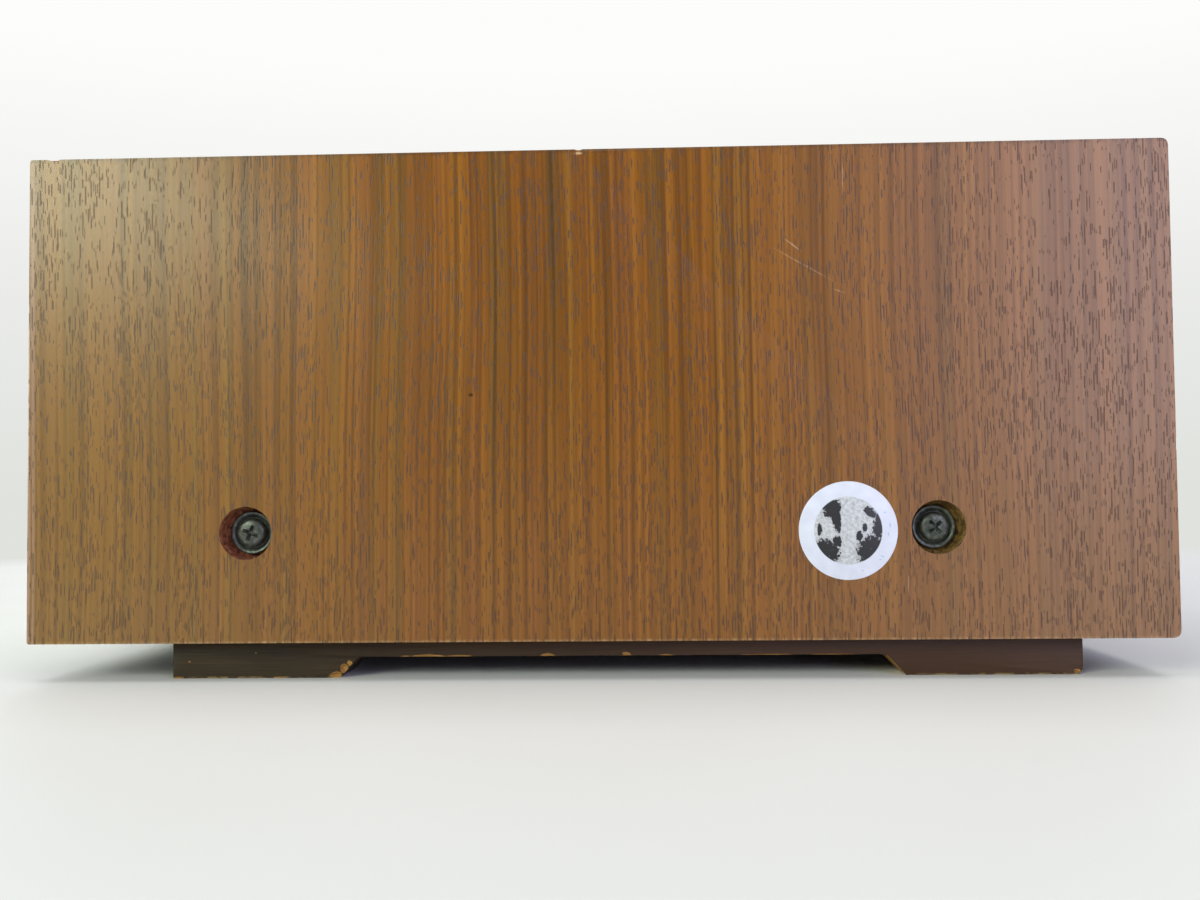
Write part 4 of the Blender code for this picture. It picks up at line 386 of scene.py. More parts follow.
AXES = {"X": (0, 1, 2), "Y": (1, 0, 2), "Z": (2, 0, 1)}


def spot(axis, distance, a, b):
    """The point at a distance along an axis, with its two other coordinates in order."""
    point = [0.0, 0.0, 0.0]
    for index, value in zip(AXES[axis], (distance, a, b)):
        point[index] = value
    return point


def eased(corners, steps=4):
    """The points of an outline whose corners (a, b, radius) are rounded by their radius."""
    points = []
    for number, (a, b, radius) in enumerate(corners):
        corner = Vector((a, b))
        if not radius:
            points.append(tuple(corner))
            continue
        before = corner + (Vector(corners[number - 1][:2]) - corner).normalized() * radius
        after = corner + (Vector(corners[(number + 1) % len(corners)][:2]) - corner).normalized() * radius
        for step in range(steps + 1):
            t = step / steps
            points.append(tuple(before * (1 - t) ** 2 + corner * 2 * t * (1 - t) + after * t * t))
    return points


def prism(outline, low, high, axis, form=None):
    """A straight block on an outline, between two distances along an axis."""
    form = form or bmesh.new()
    ends = [[form.verts.new(spot(axis, distance, *point)) for point in outline] for distance in (low, high)]
    made = [form.faces.new(ends[0]), form.faces.new(ends[1])]
    for number in range(len(outline)):
        after = (number + 1) % len(outline)
        made.append(form.faces.new((ends[0][number], ends[0][after], ends[1][after], ends[1][number])))
    bmesh.ops.recalc_face_normals(form, faces=made)
    return form


def turned(profile, axis, a, b, steps=48, ring=False, form=None):
    """A turned shape from points (radius, distance along the axis), closed on itself if it is a ring."""
    form = form or bmesh.new()
    hoops = []
    for radius, distance in profile:
        if radius == 0:
            hoops.append([form.verts.new(spot(axis, distance, a, b))])
        else:
            hoops.append([form.verts.new(spot(axis, distance, a + radius * cos(2 * pi * n / steps),
                                              b + radius * sin(2 * pi * n / steps))) for n in range(steps)])
    pairs = list(zip(hoops, hoops[1:])) + ([(hoops[-1], hoops[0])] if ring else [])
    made = []
    for one, other in pairs:
        for n in range(steps):
            after = (n + 1) % steps
            corners = [one[n % len(one)], one[after % len(one)], other[after % len(other)],
                       other[n % len(other)]]
            made.append(form.faces.new(list(dict.fromkeys(corners))))
    if not ring:
        made += [form.faces.new(hoop) for hoop in (hoops[0], hoops[-1]) if len(hoop) > 1]
    bmesh.ops.recalc_face_normals(form, faces=made)
    return form


def carve(target, *tools):
    """Takes the tools' shapes out of a piece for good. The cut faces take the tools' materials."""
    for tool in tools:
        bite = target.modifiers.new("bite", "BOOLEAN")
        bite.object = tool
        bite.solver = "EXACT"
        bite.material_mode = "TRANSFER"
    bpy.context.view_layer.update()
    shape = target.evaluated_get(bpy.context.evaluated_depsgraph_get())
    mesh = bpy.data.meshes.new_from_object(shape)
    mesh.name = target.name
    target.modifiers.clear()
    target.data = mesh
    for tool in tools:
        bpy.data.objects.remove(tool)
    mesh.set_sharp_from_angle(angle=radians(35))
    return target


def tool(form, finish=None):
    """A shape for carve, with the material that it leaves on what it cuts."""
    made = mesh_object("tool", form)
    if finish:
        made.data.materials.append(finish)
    return made


def ease(target, width, segments=2):
    """Rounds a piece's sharp edges with a bevel of a width."""
    rounding = target.modifiers.new("eased_edges", "BEVEL")
    rounding.width = width
    rounding.segments = segments
    rounding.limit_method = "ANGLE"
    rounding.angle_limit = radians(35)
    rounding.use_clamp_overlap = True
    rounding.harden_normals = False
    return target


def chip_off(middle, size, seed, finish):
    """A splinter-shaped tool: a jagged ball, size (x, y, z) across."""
    draw = random.Random(seed)
    form = bmesh.new()
    bmesh.ops.create_icosphere(form, subdivisions=2, radius=0.5)
    for vert in form.verts:
        vert.co *= draw.uniform(0.78, 1.15)
        vert.co = Vector(c * s for c, s in zip(vert.co, size)) + Vector(middle)
    return tool(form, finish)


def dress(node, *finishes):
    """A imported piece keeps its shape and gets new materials."""
    own = nodes[node].data
    own.materials.clear()
    for each in finishes:
        own.materials.append(each)
    return nodes[node]


def settle(made, finish, body, slot, *stands_for):
    """A new piece gets a material if it has none, its body and the nodes it stands for; its slot is not used.
    """
    if not made.data.materials:
        made.data.materials.append(finish)
    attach(made, body)
    if stands_for:
        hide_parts(*stands_for)
    return made


REAR_EDGE = FRONT_EDGE + BOARD_DEPTH
BOARD = 12 * MM
BORE_RADIUS = 8.5 * MM
BORE_DEPTH = 8.5 * MM
SCREW_PLACES = (-0.1065, 0.1135)
SCREW_HEIGHT = 0.0475


def side_board(name, side, corners):
    """A board on its outline (y, z), mitred at its top, with its two counterbores."""
    outline = eased(corners, 5)
    form = bmesh.new()
    prism(outline, side * (BOARD_FACE - BOARD), side * BOARD_FACE, "X", form)
    for vert in form.verts:
        if abs(vert.co.x) < BOARD_FACE - BOARD / 2 and vert.co.z > BOARD_TOP - BOARD / 2:
            vert.co.z -= BOARD
    board = mesh_object(name, form)
    board.data.materials.append(veneer_right if side > 0 else veneer_left)
    board.data.materials.append(bored)
    past = BOARD_FACE + BOARD
    bores = [tool(turned([(0, side * past), (BORE_RADIUS, side * past),
                          (BORE_RADIUS, side * (BOARD_FACE - BORE_DEPTH)),
                          (3 * MM, side * (BOARD_FACE - BORE_DEPTH)),
                          (3 * MM, side * (BOARD_FACE - 2 * BOARD)), (0, side * (BOARD_FACE - 2 * BOARD))],
                          "X", y, SCREW_HEIGHT, 64), bored)
             for y in SCREW_PLACES]
    carve(board, *bores)
    ease(board, 0.35 * MM)
    return board


right_board = side_board("walnut_side_right", 1, [
    (FRONT_EDGE, BOARD_FOOT, 0.9 * MM), (REAR_EDGE, BOARD_FOOT, 2.6 * MM),
    (REAR_EDGE, BOARD_TOP, 2.4 * MM), (FRONT_EDGE, BOARD_TOP, 1.0 * MM)])
# Nicks knocked out of its edges: middle, size
NICKS = [((BOARD_FACE, -0.1695, BOARD_TOP + 0.6 * MM), (5 * MM, 5 * MM, 2.6 * MM)),
               ((BOARD_FACE + 0.2 * MM, 0.0012, BOARD_TOP), (1.0 * MM, 2.8 * MM, 1.6 * MM)),
               ((BOARD_FACE + 0.3 * MM, FRONT_EDGE, 0.1215), (1.2 * MM, 1.0 * MM, 4.0 * MM)),
               ((BOARD_FACE + 0.3 * MM, REAR_EDGE, 0.0730), (1.4 * MM, 0.9 * MM, 5.0 * MM))]
right_board.modifiers.clear()
carve(right_board, *[chip_off(middle, size, 11 + n, bored) for n, (middle, size) in enumerate(NICKS)])
ease(right_board, 0.35 * MM)
settle(right_board, veneer_right, "case", "walnut_veneer", "side_panel_right")

left_board = side_board("walnut_side_left", -1, [
    (FRONT_EDGE, BOARD_FOOT, 0.9 * MM), (REAR_EDGE, BOARD_FOOT, 1.2 * MM),
    (REAR_EDGE, BOARD_TOP, 1.2 * MM), (FRONT_EDGE, BOARD_TOP, 1.0 * MM)])
settle(left_board, veneer_left, "case", "walnut_veneer", "side_panel_left")

dress("top_panel", veneer_top)

# The side screws and their cup washers.
# Black oxide steel: pan heads with a cross recess, each drawn down into a pressed cup washer on
# the floor of its counterbore. The oxide is rubbed to grey steel on the crown of the heads.

# Black oxide: near-black with rubbed grey patches and a dull metal sheen
oxide, tree = material("black_oxide_steel")
place = add(tree, "TexCoord").outputs["Object"]
cloud = add(tree, "TexNoise", {"Vector": place, "Scale": 1 / (1.6 * MM), "Detail": 4.0})
grit = add(tree, "TexNoise", {"Vector": place, "Scale": 1 / (0.25 * MM), "Detail": 2.0})
tone = add(tree, "ValToRGB", {"Fac": cloud}, [(0.3, "#32352f"), (0.55, "#4a4e47"), (0.75, "#74786f")])
rub = add(tree, "MapRange", {0: grit, 1: 0.4, 2: 0.7, 3: 0.30, 4: 0.52})
bump = add(tree, "Bump", {"Height": grit, "Strength": 0.35, "Distance": 0.05 * MM})
finish(tree, base_color=tone, metallic=0.45, roughness=rub, normal=bump)

HEAD_RADIUS = 4.8 * MM
HEAD_HEIGHT = 2.8 * MM
CROSS_SPAN = 5.4 * MM
CROSS_WIDTH = 1.25 * MM
CROSS_TURNS = {"right_1": 70, "right_2": 42, "left_1": 25, "left_2": 50}
for side_name, side in (("right", 1), ("left", -1)):
    floor_x = BOARD_FACE - BORE_DEPTH + 0.3 * MM
    for number, screw_y in enumerate(SCREW_PLACES, start=1):
        label = side_name + "_" + str(number)
        # The washer: a sheet cup with a rolled rim
        cup = [(3.0, 0.0), (6.6, 0.0), (6.95, 0.3), (7.0, 0.9), (6.92, 1.35), (6.7, 1.6), (6.35, 1.62),
               (5.9, 1.4), (5.35, 0.98), (5.1, 0.8), (3.0, 0.8)]
        form = turned([(r * MM, side * (floor_x + x * MM)) for r, x in cup], "X", screw_y, SCREW_HEIGHT, 64,
                      True)
        settle(mesh_object("cup_washer_piece_" + label, form), oxide, "case", "black_oxide_steel",
               "cup_washer_" + label)
        # The screw: a domed pan head on its shank
        foot = floor_x + 0.85 * MM
        head = [(0.0, 1.0), (0.3, 0.99), (0.55, 0.955), (0.75, 0.89), (0.88, 0.80), (0.95, 0.68),
                (0.99, 0.52), (1.0, 0.34), (0.99, 0.04), (0.96, 0.0)]
        form = turned([(HEAD_RADIUS * r, side * (foot + HEAD_HEIGHT * h)) for r, h in head]
                      + [(2.5 * MM, side * foot), (2.5 * MM, side * 0.2201), (0.0, side * 0.2186)],
                      "X", screw_y, SCREW_HEIGHT, 64)
        screw = mesh_object("side_screw_piece_" + label, form)
        screw.data.materials.append(oxide)
        # Its cross: four tapered arms that meet in a deeper square
        form = bmesh.new()
        top = foot + HEAD_HEIGHT
        wings = []
        for depth, span, width in ((1.0, 1.35, 1.4), (0.0, 1.0, 1.0), (-1.9, 0.42, 0.45)):
            arm, half = CROSS_SPAN / 2 * span, CROSS_WIDTH / 2 * width
            turn = radians(CROSS_TURNS[label])
            loop = [(arm, -half), (arm, half), (half, half), (half, arm), (-half, arm), (-half, half),
                    (-arm, half), (-arm, -half), (-half, -half), (-half, -arm), (half, -arm), (half, -half)]
            wings.append([form.verts.new((side * (top + depth * MM), screw_y + a * cos(turn) - b * sin(turn),
                                          SCREW_HEIGHT + a * sin(turn) + b * cos(turn))) for a, b in loop])
        for one, other in zip(wings, wings[1:]):
            for n in range(12):
                form.faces.new((one[n], one[(n + 1) % 12], other[(n + 1) % 12], other[n]))
        form.faces.new(wings[0])
        form.faces.new(wings[-1])
        bmesh.ops.recalc_face_normals(form, faces=form.faces)
        carve(screw, tool(form, oxide))
        ease(screw, 0.12 * MM)
        settle(screw, oxide, "case", "black_oxide_steel", "side_screw_" + label)

# The round sticker.
# A white paper disc 31 mm across on the right board, with a smaller disc of silver printed over
# in black. The ink has worn away down the middle, and a few blue specks are left on the rim.

STICKER_PLACE = (0.0852, 0.0467)
STICKER_RADIUS = 15.5 * MM
INK_RADIUS = 10.8 * MM

# Printed paper: a pale bluish ring round silver and worn black ink, with no gloss
paper, tree = material("printed_gummed_paper")
axes = add(tree, "SeparateXYZ", {0: add(tree, "TexCoord").outputs["Object"]})
across = add(tree, "Math", {0: axes.outputs["Y"], 1: STICKER_PLACE[0]}, operation="SUBTRACT")
rise = add(tree, "Math", {0: axes.outputs["Z"], 1: STICKER_PLACE[1]}, operation="SUBTRACT")
place = add(tree, "CombineXYZ", {0: across, 1: rise})
reach = add(tree, "VectorMath", {0: place}, operation="LENGTH").outputs["Value"]
mottle = add(tree, "TexNoise", {"Vector": place, "Scale": 1 / (1.1 * MM), "Detail": 4.0, "Roughness": 0.65})
large = add(tree, "TexNoise", {"Vector": place, "Scale": 1 / (5.0 * MM), "Detail": 2.0})
silver = add(tree, "ValToRGB", {"Fac": mottle}, [(0.3, "#8f9094"), (0.5, "#b3b4b8"), (0.72, "#cfd0d4")])


def patch(middle, length, width, turn=0.0):
    return stroke(tree, place, tuple(c * MM for c in middle), length * MM, width * MM, radians(turn))


# Where ink is left: a wedge at the upper left, and two broad crescents below and to the right
ink = 0.0
for middle, length, width, turn in (((-4.9, 7.0), 8.5, 8.0, 40), ((-3.4, 3.4), 4.5, 12.0, 12),
                                    ((-6.8, -6.4), 11.5, 9.5, -35), ((7.0, -5.6), 13.0, 10.0, 38),
                                    ((9.6, 1.4), 5.0, 13.0, -8), ((7.0, 5.6), 6.5, 3.6, -40),
                                    ((-8.9, 0.4), 2.0, 5.0, 0), ((-3.2, -3.4), 5.0, 5.0, 0),
                                    ((3.4, -1.6), 3.0, 4.5, 10), ((5.2, 0.8), 2.0, 4.0, 0)):
    ink = add(tree, "Math", {0: ink, 1: patch(middle, length, width, turn)}, operation="MAXIMUM")
for middle, length, width, turn in (((-0.6, 0.0), 4.4, 26.0, 0), ((0.8, 1.0), 6.0, 7.5, 0)):
    worn = add(tree, "Math", {0: patch(middle, length, width, turn), 1: -0.95}, operation="MULTIPLY")
    ink = add(tree, "Math", {0: ink, 1: worn})
ragged = add(tree, "MapRange", {0: mottle, 1: 0.3, 2: 0.7, 3: -0.55, 4: 0.55})
ink = add(tree, "Math", {0: ink, 1: ragged})
ink = add(tree, "MapRange", {0: ink, 1: 0.38, 2: 0.60})
printed = add(tree, "Mix", {0: ink, 6: silver, 7: linear("#151517")}, data_type="RGBA")
edge = add(tree, "MapRange", {0: reach, 1: INK_RADIUS, 2: INK_RADIUS - 0.25 * MM})
sheet = add(tree, "ValToRGB", {"Fac": large}, [(0.3, "#c3c5d3"), (0.7, "#cfd1de")])
tone = add(tree, "Mix", {0: edge, 6: sheet, 7: printed.outputs[2]}, data_type="RGBA").outputs[2]
for middle, length, width, turn in (((10.6, -8.2), 1.7, 0.5, -35), ((9.8, -9.2), 1.2, 0.5, 10),
                                    ((4.2, -12.6), 1.0, 0.4, 0), ((11.6, 5.6), 1.3, 0.5, 20),
                                    ((13.1, 1.6), 0.6, 2.0, 0), ((12.6, -1.2), 0.5, 1.6, 0)):
    share = add(tree, "Math", {0: patch(middle, length, width, turn), 1: 0.7}, operation="MULTIPLY")
    tone = add(tree, "Mix", {0: share, 6: tone, 7: linear("#6f9fcb")}, data_type="RGBA").outputs[2]
bump = add(tree, "Bump", {"Height": mottle, "Strength": 0.2, "Distance": 0.05 * MM})
finish(tree, base_color=tone, roughness=0.42, normal=bump)

sticker = turned([(0.0, BOARD_FACE + 0.11 * MM), (STICKER_RADIUS - 0.15 * MM, BOARD_FACE + 0.11 * MM),
                  (STICKER_RADIUS, BOARD_FACE + 0.05 * MM), (STICKER_RADIUS, BOARD_FACE - 0.01 * MM),
                  (0.0, BOARD_FACE - 0.01 * MM)], "X", *STICKER_PLACE, 96)
settle(mesh_object("round_paper_sticker", sticker), paper, "case", "white_plastic")

# The bottom board and the foot rails.
# A chipboard base with air slots, and one hardwood rail a side that is coved out between its two
# feet. All are stained dark brown, and the rails are chipped down to the raw wood at their edges.


def stained_wood(name, along, across, tones, seed):
    """Hardwood stained dark with a thin matt lacquer: the grain shows as fine darker lines."""
    made, tree = material(name)
    side, run = grain(tree, along, across, 0.001)
    fine = streaks(tree, side, run, 0.5 * MM, 22 * MM, seed, 3.0)
    broad = streaks(tree, side, run, 5 * MM, 70 * MM, seed + 3)
    tone = add(tree, "Math", {0: broad, 1: 0.45,
                              2: add(tree, "Math", {0: fine, 1: 0.55}, operation="MULTIPLY")},
               operation="MULTIPLY_ADD")
    brown = add(tree, "ValToRGB", {"Fac": tone}, [(0.3, tones[0]), (0.5, tones[1]), (0.7, tones[2])])
    axes = add(tree, "SeparateXYZ", {0: add(tree, "TexCoord").outputs["Object"]})
    rear = add(tree, "MapRange", {0: axes.outputs["Y"], 1: -0.10, 2: 0.06, 3: 0.0, 4: 0.42})
    colour = add(tree, "Mix", {0: rear, 6: brown, 7: linear("#54382c")}, data_type="RGBA").outputs[2]
    # The lowest edge is rubbed by the shelf
    worn = streaks(tree, side, run, 2 * MM, 3.5 * MM, seed + 5, 2.0)
    worn = add(tree, "MapRange", {0: worn, 1: 0.45, 2: 0.62})
    foot = add(tree, "MapRange", {0: axes.outputs["Z"], 1: 0.75 * MM, 2: 0.25 * MM})
    share = add(tree, "Math", {0: worn, 1: foot}, operation="MULTIPLY")
    colour = add(tree, "Mix", {0: share, 6: colour, 7: linear("#8c7348")}, data_type="RGBA").outputs[2]
    bump = add(tree, "Bump", {"Height": fine, "Strength": 0.4, "Distance": 0.12 * MM})
    finish(tree, base_color=colour, roughness=0.5, specular_ior_level=0.2, normal=bump)
    return made


stained_rail = stained_wood("stained_beech_rail", "Y", "Z", ("#1f170b", "#2d2212", "#3f3019"), 5.0)
stained_board = stained_wood("stained_chipboard_base", "X", "Y", ("#241b12", "#33271a", "#453624"), 23.0)
ease(dress("bottom_board", stained_board), 0.3 * MM, 1)

# Raw beech: pale yellow-brown fibres that stand out against the stain
raw, tree = material("raw_split_beech")
side, run = grain(tree, "Y", "Z", 0.0005)
fibre = streaks(tree, side, run, 0.35 * MM, 6 * MM, 9.0, 3.0)
tone = add(tree, "ValToRGB", {"Fac": fibre}, [(0.3, "#6b4a18"), (0.5, "#93692a"), (0.7, "#b58c4c")])
bump = add(tree, "Bump", {"Height": fibre, "Strength": 0.6, "Distance": 0.2 * MM})
finish(tree, base_color=tone, roughness=0.8, normal=bump)

RAIL_START, RAIL_END = -0.1335, 0.1605
RAIL_TOP = 0.0122
WEB_LOW = 0.0067
COVE = 3 * MM
COVE_START, COVE_END = -0.0785, 0.1045
SLOPE = 5.5 * MM
COVE_SHIFT = COVE * sin(pi / 4)


def cove(middle_y, begin, end):
    return [(middle_y + COVE * cos(radians(begin + (end - begin) * n / 6)),
             WEB_LOW - COVE + COVE * sin(radians(begin + (end - begin) * n / 6))) for n in range(7)]


rail_outline = ([(RAIL_START, RAIL_TOP), (RAIL_START, 0.0), (COVE_START, 0.0)]
                + cove(COVE_START + SLOPE + COVE_SHIFT, 135, 90) + cove(COVE_END - SLOPE - COVE_SHIFT, 90, 45)
                + [(COVE_END, 0.0), (RAIL_END - 1.6 * MM, 0.0), (RAIL_END, 1.6 * MM), (RAIL_END, RAIL_TOP)])
RAIL_FACE = 0.231
# Chips on the right rail's outer face: middle (y, z), size (x, y, z), in mm
CHIPS = (((-79.6, 0.9), (2.2, 4.6, 2.6)), ((-77.0, 3.0), (2.0, 2.8, 3.4)), ((-75.2, 4.9), (1.4, 1.8, 2.0)),
         ((-49.0, 6.9), (1.5, 11.0, 1.3)), ((-40.0, 6.8), (1.3, 9.0, 0.9)), ((-57.0, 6.8), (1.1, 4.0, 0.8)),
         ((-10.5, 7.0), (1.3, 5.2, 1.3)), ((15.0, 7.1), (1.5, 3.2, 1.7)), ((28.0, 6.8), (0.9, 5.0, 0.7)),
         ((60.0, 6.75), (0.8, 20.0, 0.55)), ((82.0, 6.75), (0.8, 17.0, 0.5)), ((-98.5, 0.2), (1.2, 4.2, 0.8)),
         ((-131.5, 0.3), (1.2, 3.6, 0.9)), ((-128.0, 5.5), (0.4, 0.9, 0.5)), ((-106.0, 8.2), (0.4, 0.8, 0.5)),
         ((158.5, 1.2), (1.2, 2.4, 1.4)))
for side_name, sign in (("right", 1), ("left", -1)):
    form = prism(rail_outline, sign * (RAIL_FACE - 0.020), sign * RAIL_FACE, "X")
    rail = mesh_object("foot_rail_piece_" + side_name, form)
    rail.data.materials.append(stained_rail)
    rail.data.materials.append(raw)
    ease(rail, 0.35 * MM)
    if sign > 0:
        carve(rail, *[chip_off((RAIL_FACE, y * MM, z * MM), tuple(c * MM for c in size), 50 + n, raw)
                      for n, ((y, z), size) in enumerate(CHIPS)])
    else:
        carve(rail, *[chip_off((-RAIL_FACE, y * MM, z * MM), tuple(c * MM for c in size), 80 + n, raw)
                      for n, ((y, z), size) in enumerate(CHIPS[2::5])])
    # The rear foot's slope was never stained well
    for face in rail.data.polygons:
        across = COVE_END - SLOPE - 1.2 * MM < face.center.y < COVE_END - 0.1 * MM
        if across and 0.2 * MM < face.center.z < WEB_LOW - 0.3 * MM and abs(face.normal.x) < 0.5:
            face.material_index = 1
    settle(rail, stained_rail, "case", "stained_wood", "foot_rail_" + side_name)

# The chassis and the faceplate.
# A tray and a stepped sub-panel folded from zinc-plated sheet carry everything. The faceplate in
# front is a 3 mm aluminium plate, brushed along its length and clear anodised.


def zinc(name, tones=("#8f9596", "#a4a9a8", "#b8bbb4")):
    """Zinc-plated sheet: a cool grey with faint spangle, rolled along X, and a dull yellow cast."""
    made, tree = material(name)
    place = add(tree, "TexCoord").outputs["Object"]
    spangle = add(tree, "TexVoronoi", {"Vector": place, "Scale": 1 / (4 * MM)})
    grey = add(tree, "SeparateColor", {0: spangle.outputs["Color"]})
    cloud = add(tree, "TexNoise", {"Vector": place, "Scale": 1 / (30 * MM), "Detail": 3.0})
    both = add(tree, "Math", {0: grey, 1: 0.3, 2: cloud}, operation="MULTIPLY_ADD")
    tone = add(tree, "ValToRGB", {"Fac": both}, [(0.4, tones[0]), (0.62, tones[1]), (0.85, tones[2])])
    rolled = add(tree, "Mapping", {0: place, "Scale": (1 / (40 * MM), 1 / (0.3 * MM), 1 / (0.3 * MM))})
    lines = add(tree, "TexNoise", {"Vector": rolled, "Scale": 1.0, "Detail": 2.0})
    rough = add(tree, "MapRange", {0: both, 1: 0.4, 2: 0.9, 3: 0.34, 4: 0.50})
    bump = add(tree, "Bump", {"Height": lines, "Strength": 0.15, "Distance": 0.05 * MM})
    finish(tree, base_color=tone, metallic=1.0, roughness=rough, normal=bump)
    return made


zinc_sheet = zinc("zinc_plated_rolled_steel")
for node in ("chassis_tray", "front_subpanel", "pointer_rail", "tuner_bridge"):
    ease(dress(node, zinc_sheet), 0.2 * MM, 1)


def brushed(name, axis, light="#cfd0cd", dark="#b4b5b3", scratch=0.14):
    """Aluminium brushed along one axis: bright fine lines, drawn 0.2 mm apart so that they show."""
    made, tree = material(name)
    place = add(tree, "TexCoord").outputs["Object"]
    scale = [1 / (0.2 * MM)] * 3
    scale["XYZ".index(axis)] = 1 / (45 * MM)
    fine = add(tree, "Mapping", {0: place, "Scale": scale})
    fine = add(tree, "TexNoise", {"Vector": fine, "Scale": 1.0, "Detail": 3.0})
    cloud = add(tree, "TexNoise", {"Vector": place, "Scale": 1 / (60 * MM), "Detail": 2.0})
    both = add(tree, "Math", {0: cloud, 1: 0.3,
                              2: add(tree, "Math", {0: fine, 1: 0.7}, operation="MULTIPLY")},
               operation="MULTIPLY_ADD")
    tone = add(tree, "ValToRGB", {"Fac": both}, [(0.35, dark), (0.65, light)])
    rough = add(tree, "MapRange", {0: fine, 1: 0.3, 2: 0.7, 3: 0.24, 4: 0.40})
    bump = add(tree, "Bump", {"Height": fine, "Strength": scratch, "Distance": 0.05 * MM})
    finish(tree, base_color=tone, metallic=1.0, roughness=rough, normal=bump)
    return made


face_metal = brushed("anodised_aluminium_brushed_along_plate", "X")
ease(dress("faceplate", face_metal), 0.3 * MM)

FACE = -0.1735
ROW_RISE = 0.060
KNOBS = {"speaker_knob": (-0.128, 13, 60), "bass_knob": (-0.088, 13, 140), "treble_knob": (-0.050, 13, 140),
         "balance_knob": (0.082, 13, 140), "volume_knob": (0.128, 18, 150), "source_knob": (0.178, 15, 75)}

# Screen-printed ink: matt black, with a faint mottle where it is thin
ink, tree = material("screen_printed_black_ink")
mottle = add(tree, "TexNoise", {"Vector": add(tree, "TexCoord").outputs["Object"], "Scale": 1 / (0.5 * MM),
                                "Detail": 2.0})
tone = add(tree, "ValToRGB", {"Fac": mottle}, [(0.3, "#17181a"), (0.7, "#26282b")])
finish(tree, base_color=tone, roughness=0.6)


def bar(form, x, z, width, height, front, thick, turn=0.0):
    """Adds a small upright rectangle of a thickness, turned about its middle, facing the front."""
    corners = [(-width / 2, -height / 2), (width / 2, -height / 2), (width / 2, height / 2),
               (-width / 2, height / 2)]
    outline = [(x + a * cos(turn) - b * sin(turn), z + a * sin(turn) + b * cos(turn)) for a, b in corners]
    return prism(outline, front, front + thick, "Y", form)


PRINT = 0.04 * MM
ticks = bmesh.new()
for knob_name, (x, radius, swing) in KNOBS.items():
    count = {"speaker_knob": 3, "source_knob": 6}.get(knob_name, 11)
    reach = (radius + 2.6) * MM
    for n in range(count):
        angle = radians(-swing + 2 * swing * n / (count - 1))
        tall = 2.2 * MM if count < 11 or n in (0, 5, 10) else 1.4 * MM
        bar(ticks, x + (reach + tall / 2) * sin(angle), ROW_RISE + (reach + tall / 2) * cos(angle),
            0.45 * MM, tall, FACE - PRINT, PRINT + 0.02 * MM, -angle)
settle(mesh_object("faceplate_tick_marks", ticks), ink, "case", "black_plastic")

# The dial: its window, lacquered sheet, printed scale, lamps and pointer.
# A clear moulded window lies behind the plate's opening. The sheet behind it is lacquered dark,
# with cream figures and ticks screen printed on it, and small lamps light it from below.

# Acrylic: nearly unseen, but for a mirrored gleam and a trace of dust
glass, tree = material("clear_moulded_acrylic")
haze = add(tree, "TexNoise", {"Vector": add(tree, "TexCoord").outputs["Object"], "Scale": 1 / (8 * MM),
                              "Detail": 3.0})
dust = add(tree, "MapRange", {0: haze, 1: 0.4, 2: 0.7, 3: 0.0, 4: 0.012})
pale = add(tree, "ValToRGB", {"Fac": haze}, [(0.3, "#f1f6f4"), (0.7, "#f7faf9")])
finish(tree, base_color=pale, roughness=dust, ior=1.49, transmission_weight=1.0)
ease(dress("dial_glass", glass), 0.25 * MM)

# Dial lacquer: a dark blue-grey that lets the cream figures stand out
lacquer, tree = material("sprayed_black_dial_lacquer")
place = add(tree, "TexCoord").outputs["Object"]
peel = add(tree, "TexNoise", {"Vector": place, "Scale": 1 / (0.8 * MM), "Detail": 3.0})
rise = add(tree, "SeparateXYZ", {0: place}).outputs["Z"]
# Painted lamp glow: the lacquer is lighter towards its foot, where the lamps below would light it
tone = add(tree, "MapRange", {0: rise, 1: 0.097, 2: 0.1475})
tone = add(tree, "Math", {0: peel, 1: 0.25, 2: tone}, operation="MULTIPLY_ADD")
tone = add(tree, "ValToRGB", {"Fac": tone}, [(0.1, "#1d2a2e"), (0.6, "#151c20"), (1.0, "#101518")])
bump = add(tree, "Bump", {"Height": peel, "Strength": 0.06, "Distance": 0.02 * MM})
finish(tree, base_color=tone, roughness=0.5, normal=bump)
dress("dial_backplate", lacquer)

# Cream ink: warm and matt, with a faint mottle where it is thin
cream, tree = material("screen_printed_cream_ink")
mottle = add(tree, "TexNoise", {"Vector": add(tree, "TexCoord").outputs["Object"], "Scale": 1 / (0.6 * MM),
                                "Detail": 2.0})
tone = add(tree, "ValToRGB", {"Fac": mottle}, [(0.3, "#d9d2b4"), (0.7, "#e9e3c8")])
finish(tree, base_color=tone, roughness=0.55)

SHEET_FACE = FACE + 11 * MM
SCALE_LEFT, SCALE_RIGHT = 0.015 - 0.0945, 0.015 + 0.0945
SCALE_LINE = 0.1225


def figures(form, text, x, z, size, front):
    """Adds plain raised figures to a mesh, centred on a point and facing the front."""
    curve = bpy.data.curves.new("figures", "FONT")
    curve.body = text
    curve.size = size
    curve.align_x = "CENTER"
    curve.align_y = "CENTER"
    curve.extrude = PRINT
    curve.resolution_u = 2
    made = bpy.data.objects.new("figures", curve)
    scene.collection.objects.link(made)
    bpy.context.view_layer.update()
    mesh = bpy.data.meshes.new_from_object(made.evaluated_get(bpy.context.evaluated_depsgraph_get()))
    mesh.transform(Matrix.Translation((x, front - PRINT / 2, z)) @ Matrix.Rotation(radians(90), 4, "X"))
    form.from_mesh(mesh)
    bpy.data.objects.remove(made)
    bpy.data.curves.remove(curve)
    bpy.data.meshes.remove(mesh)


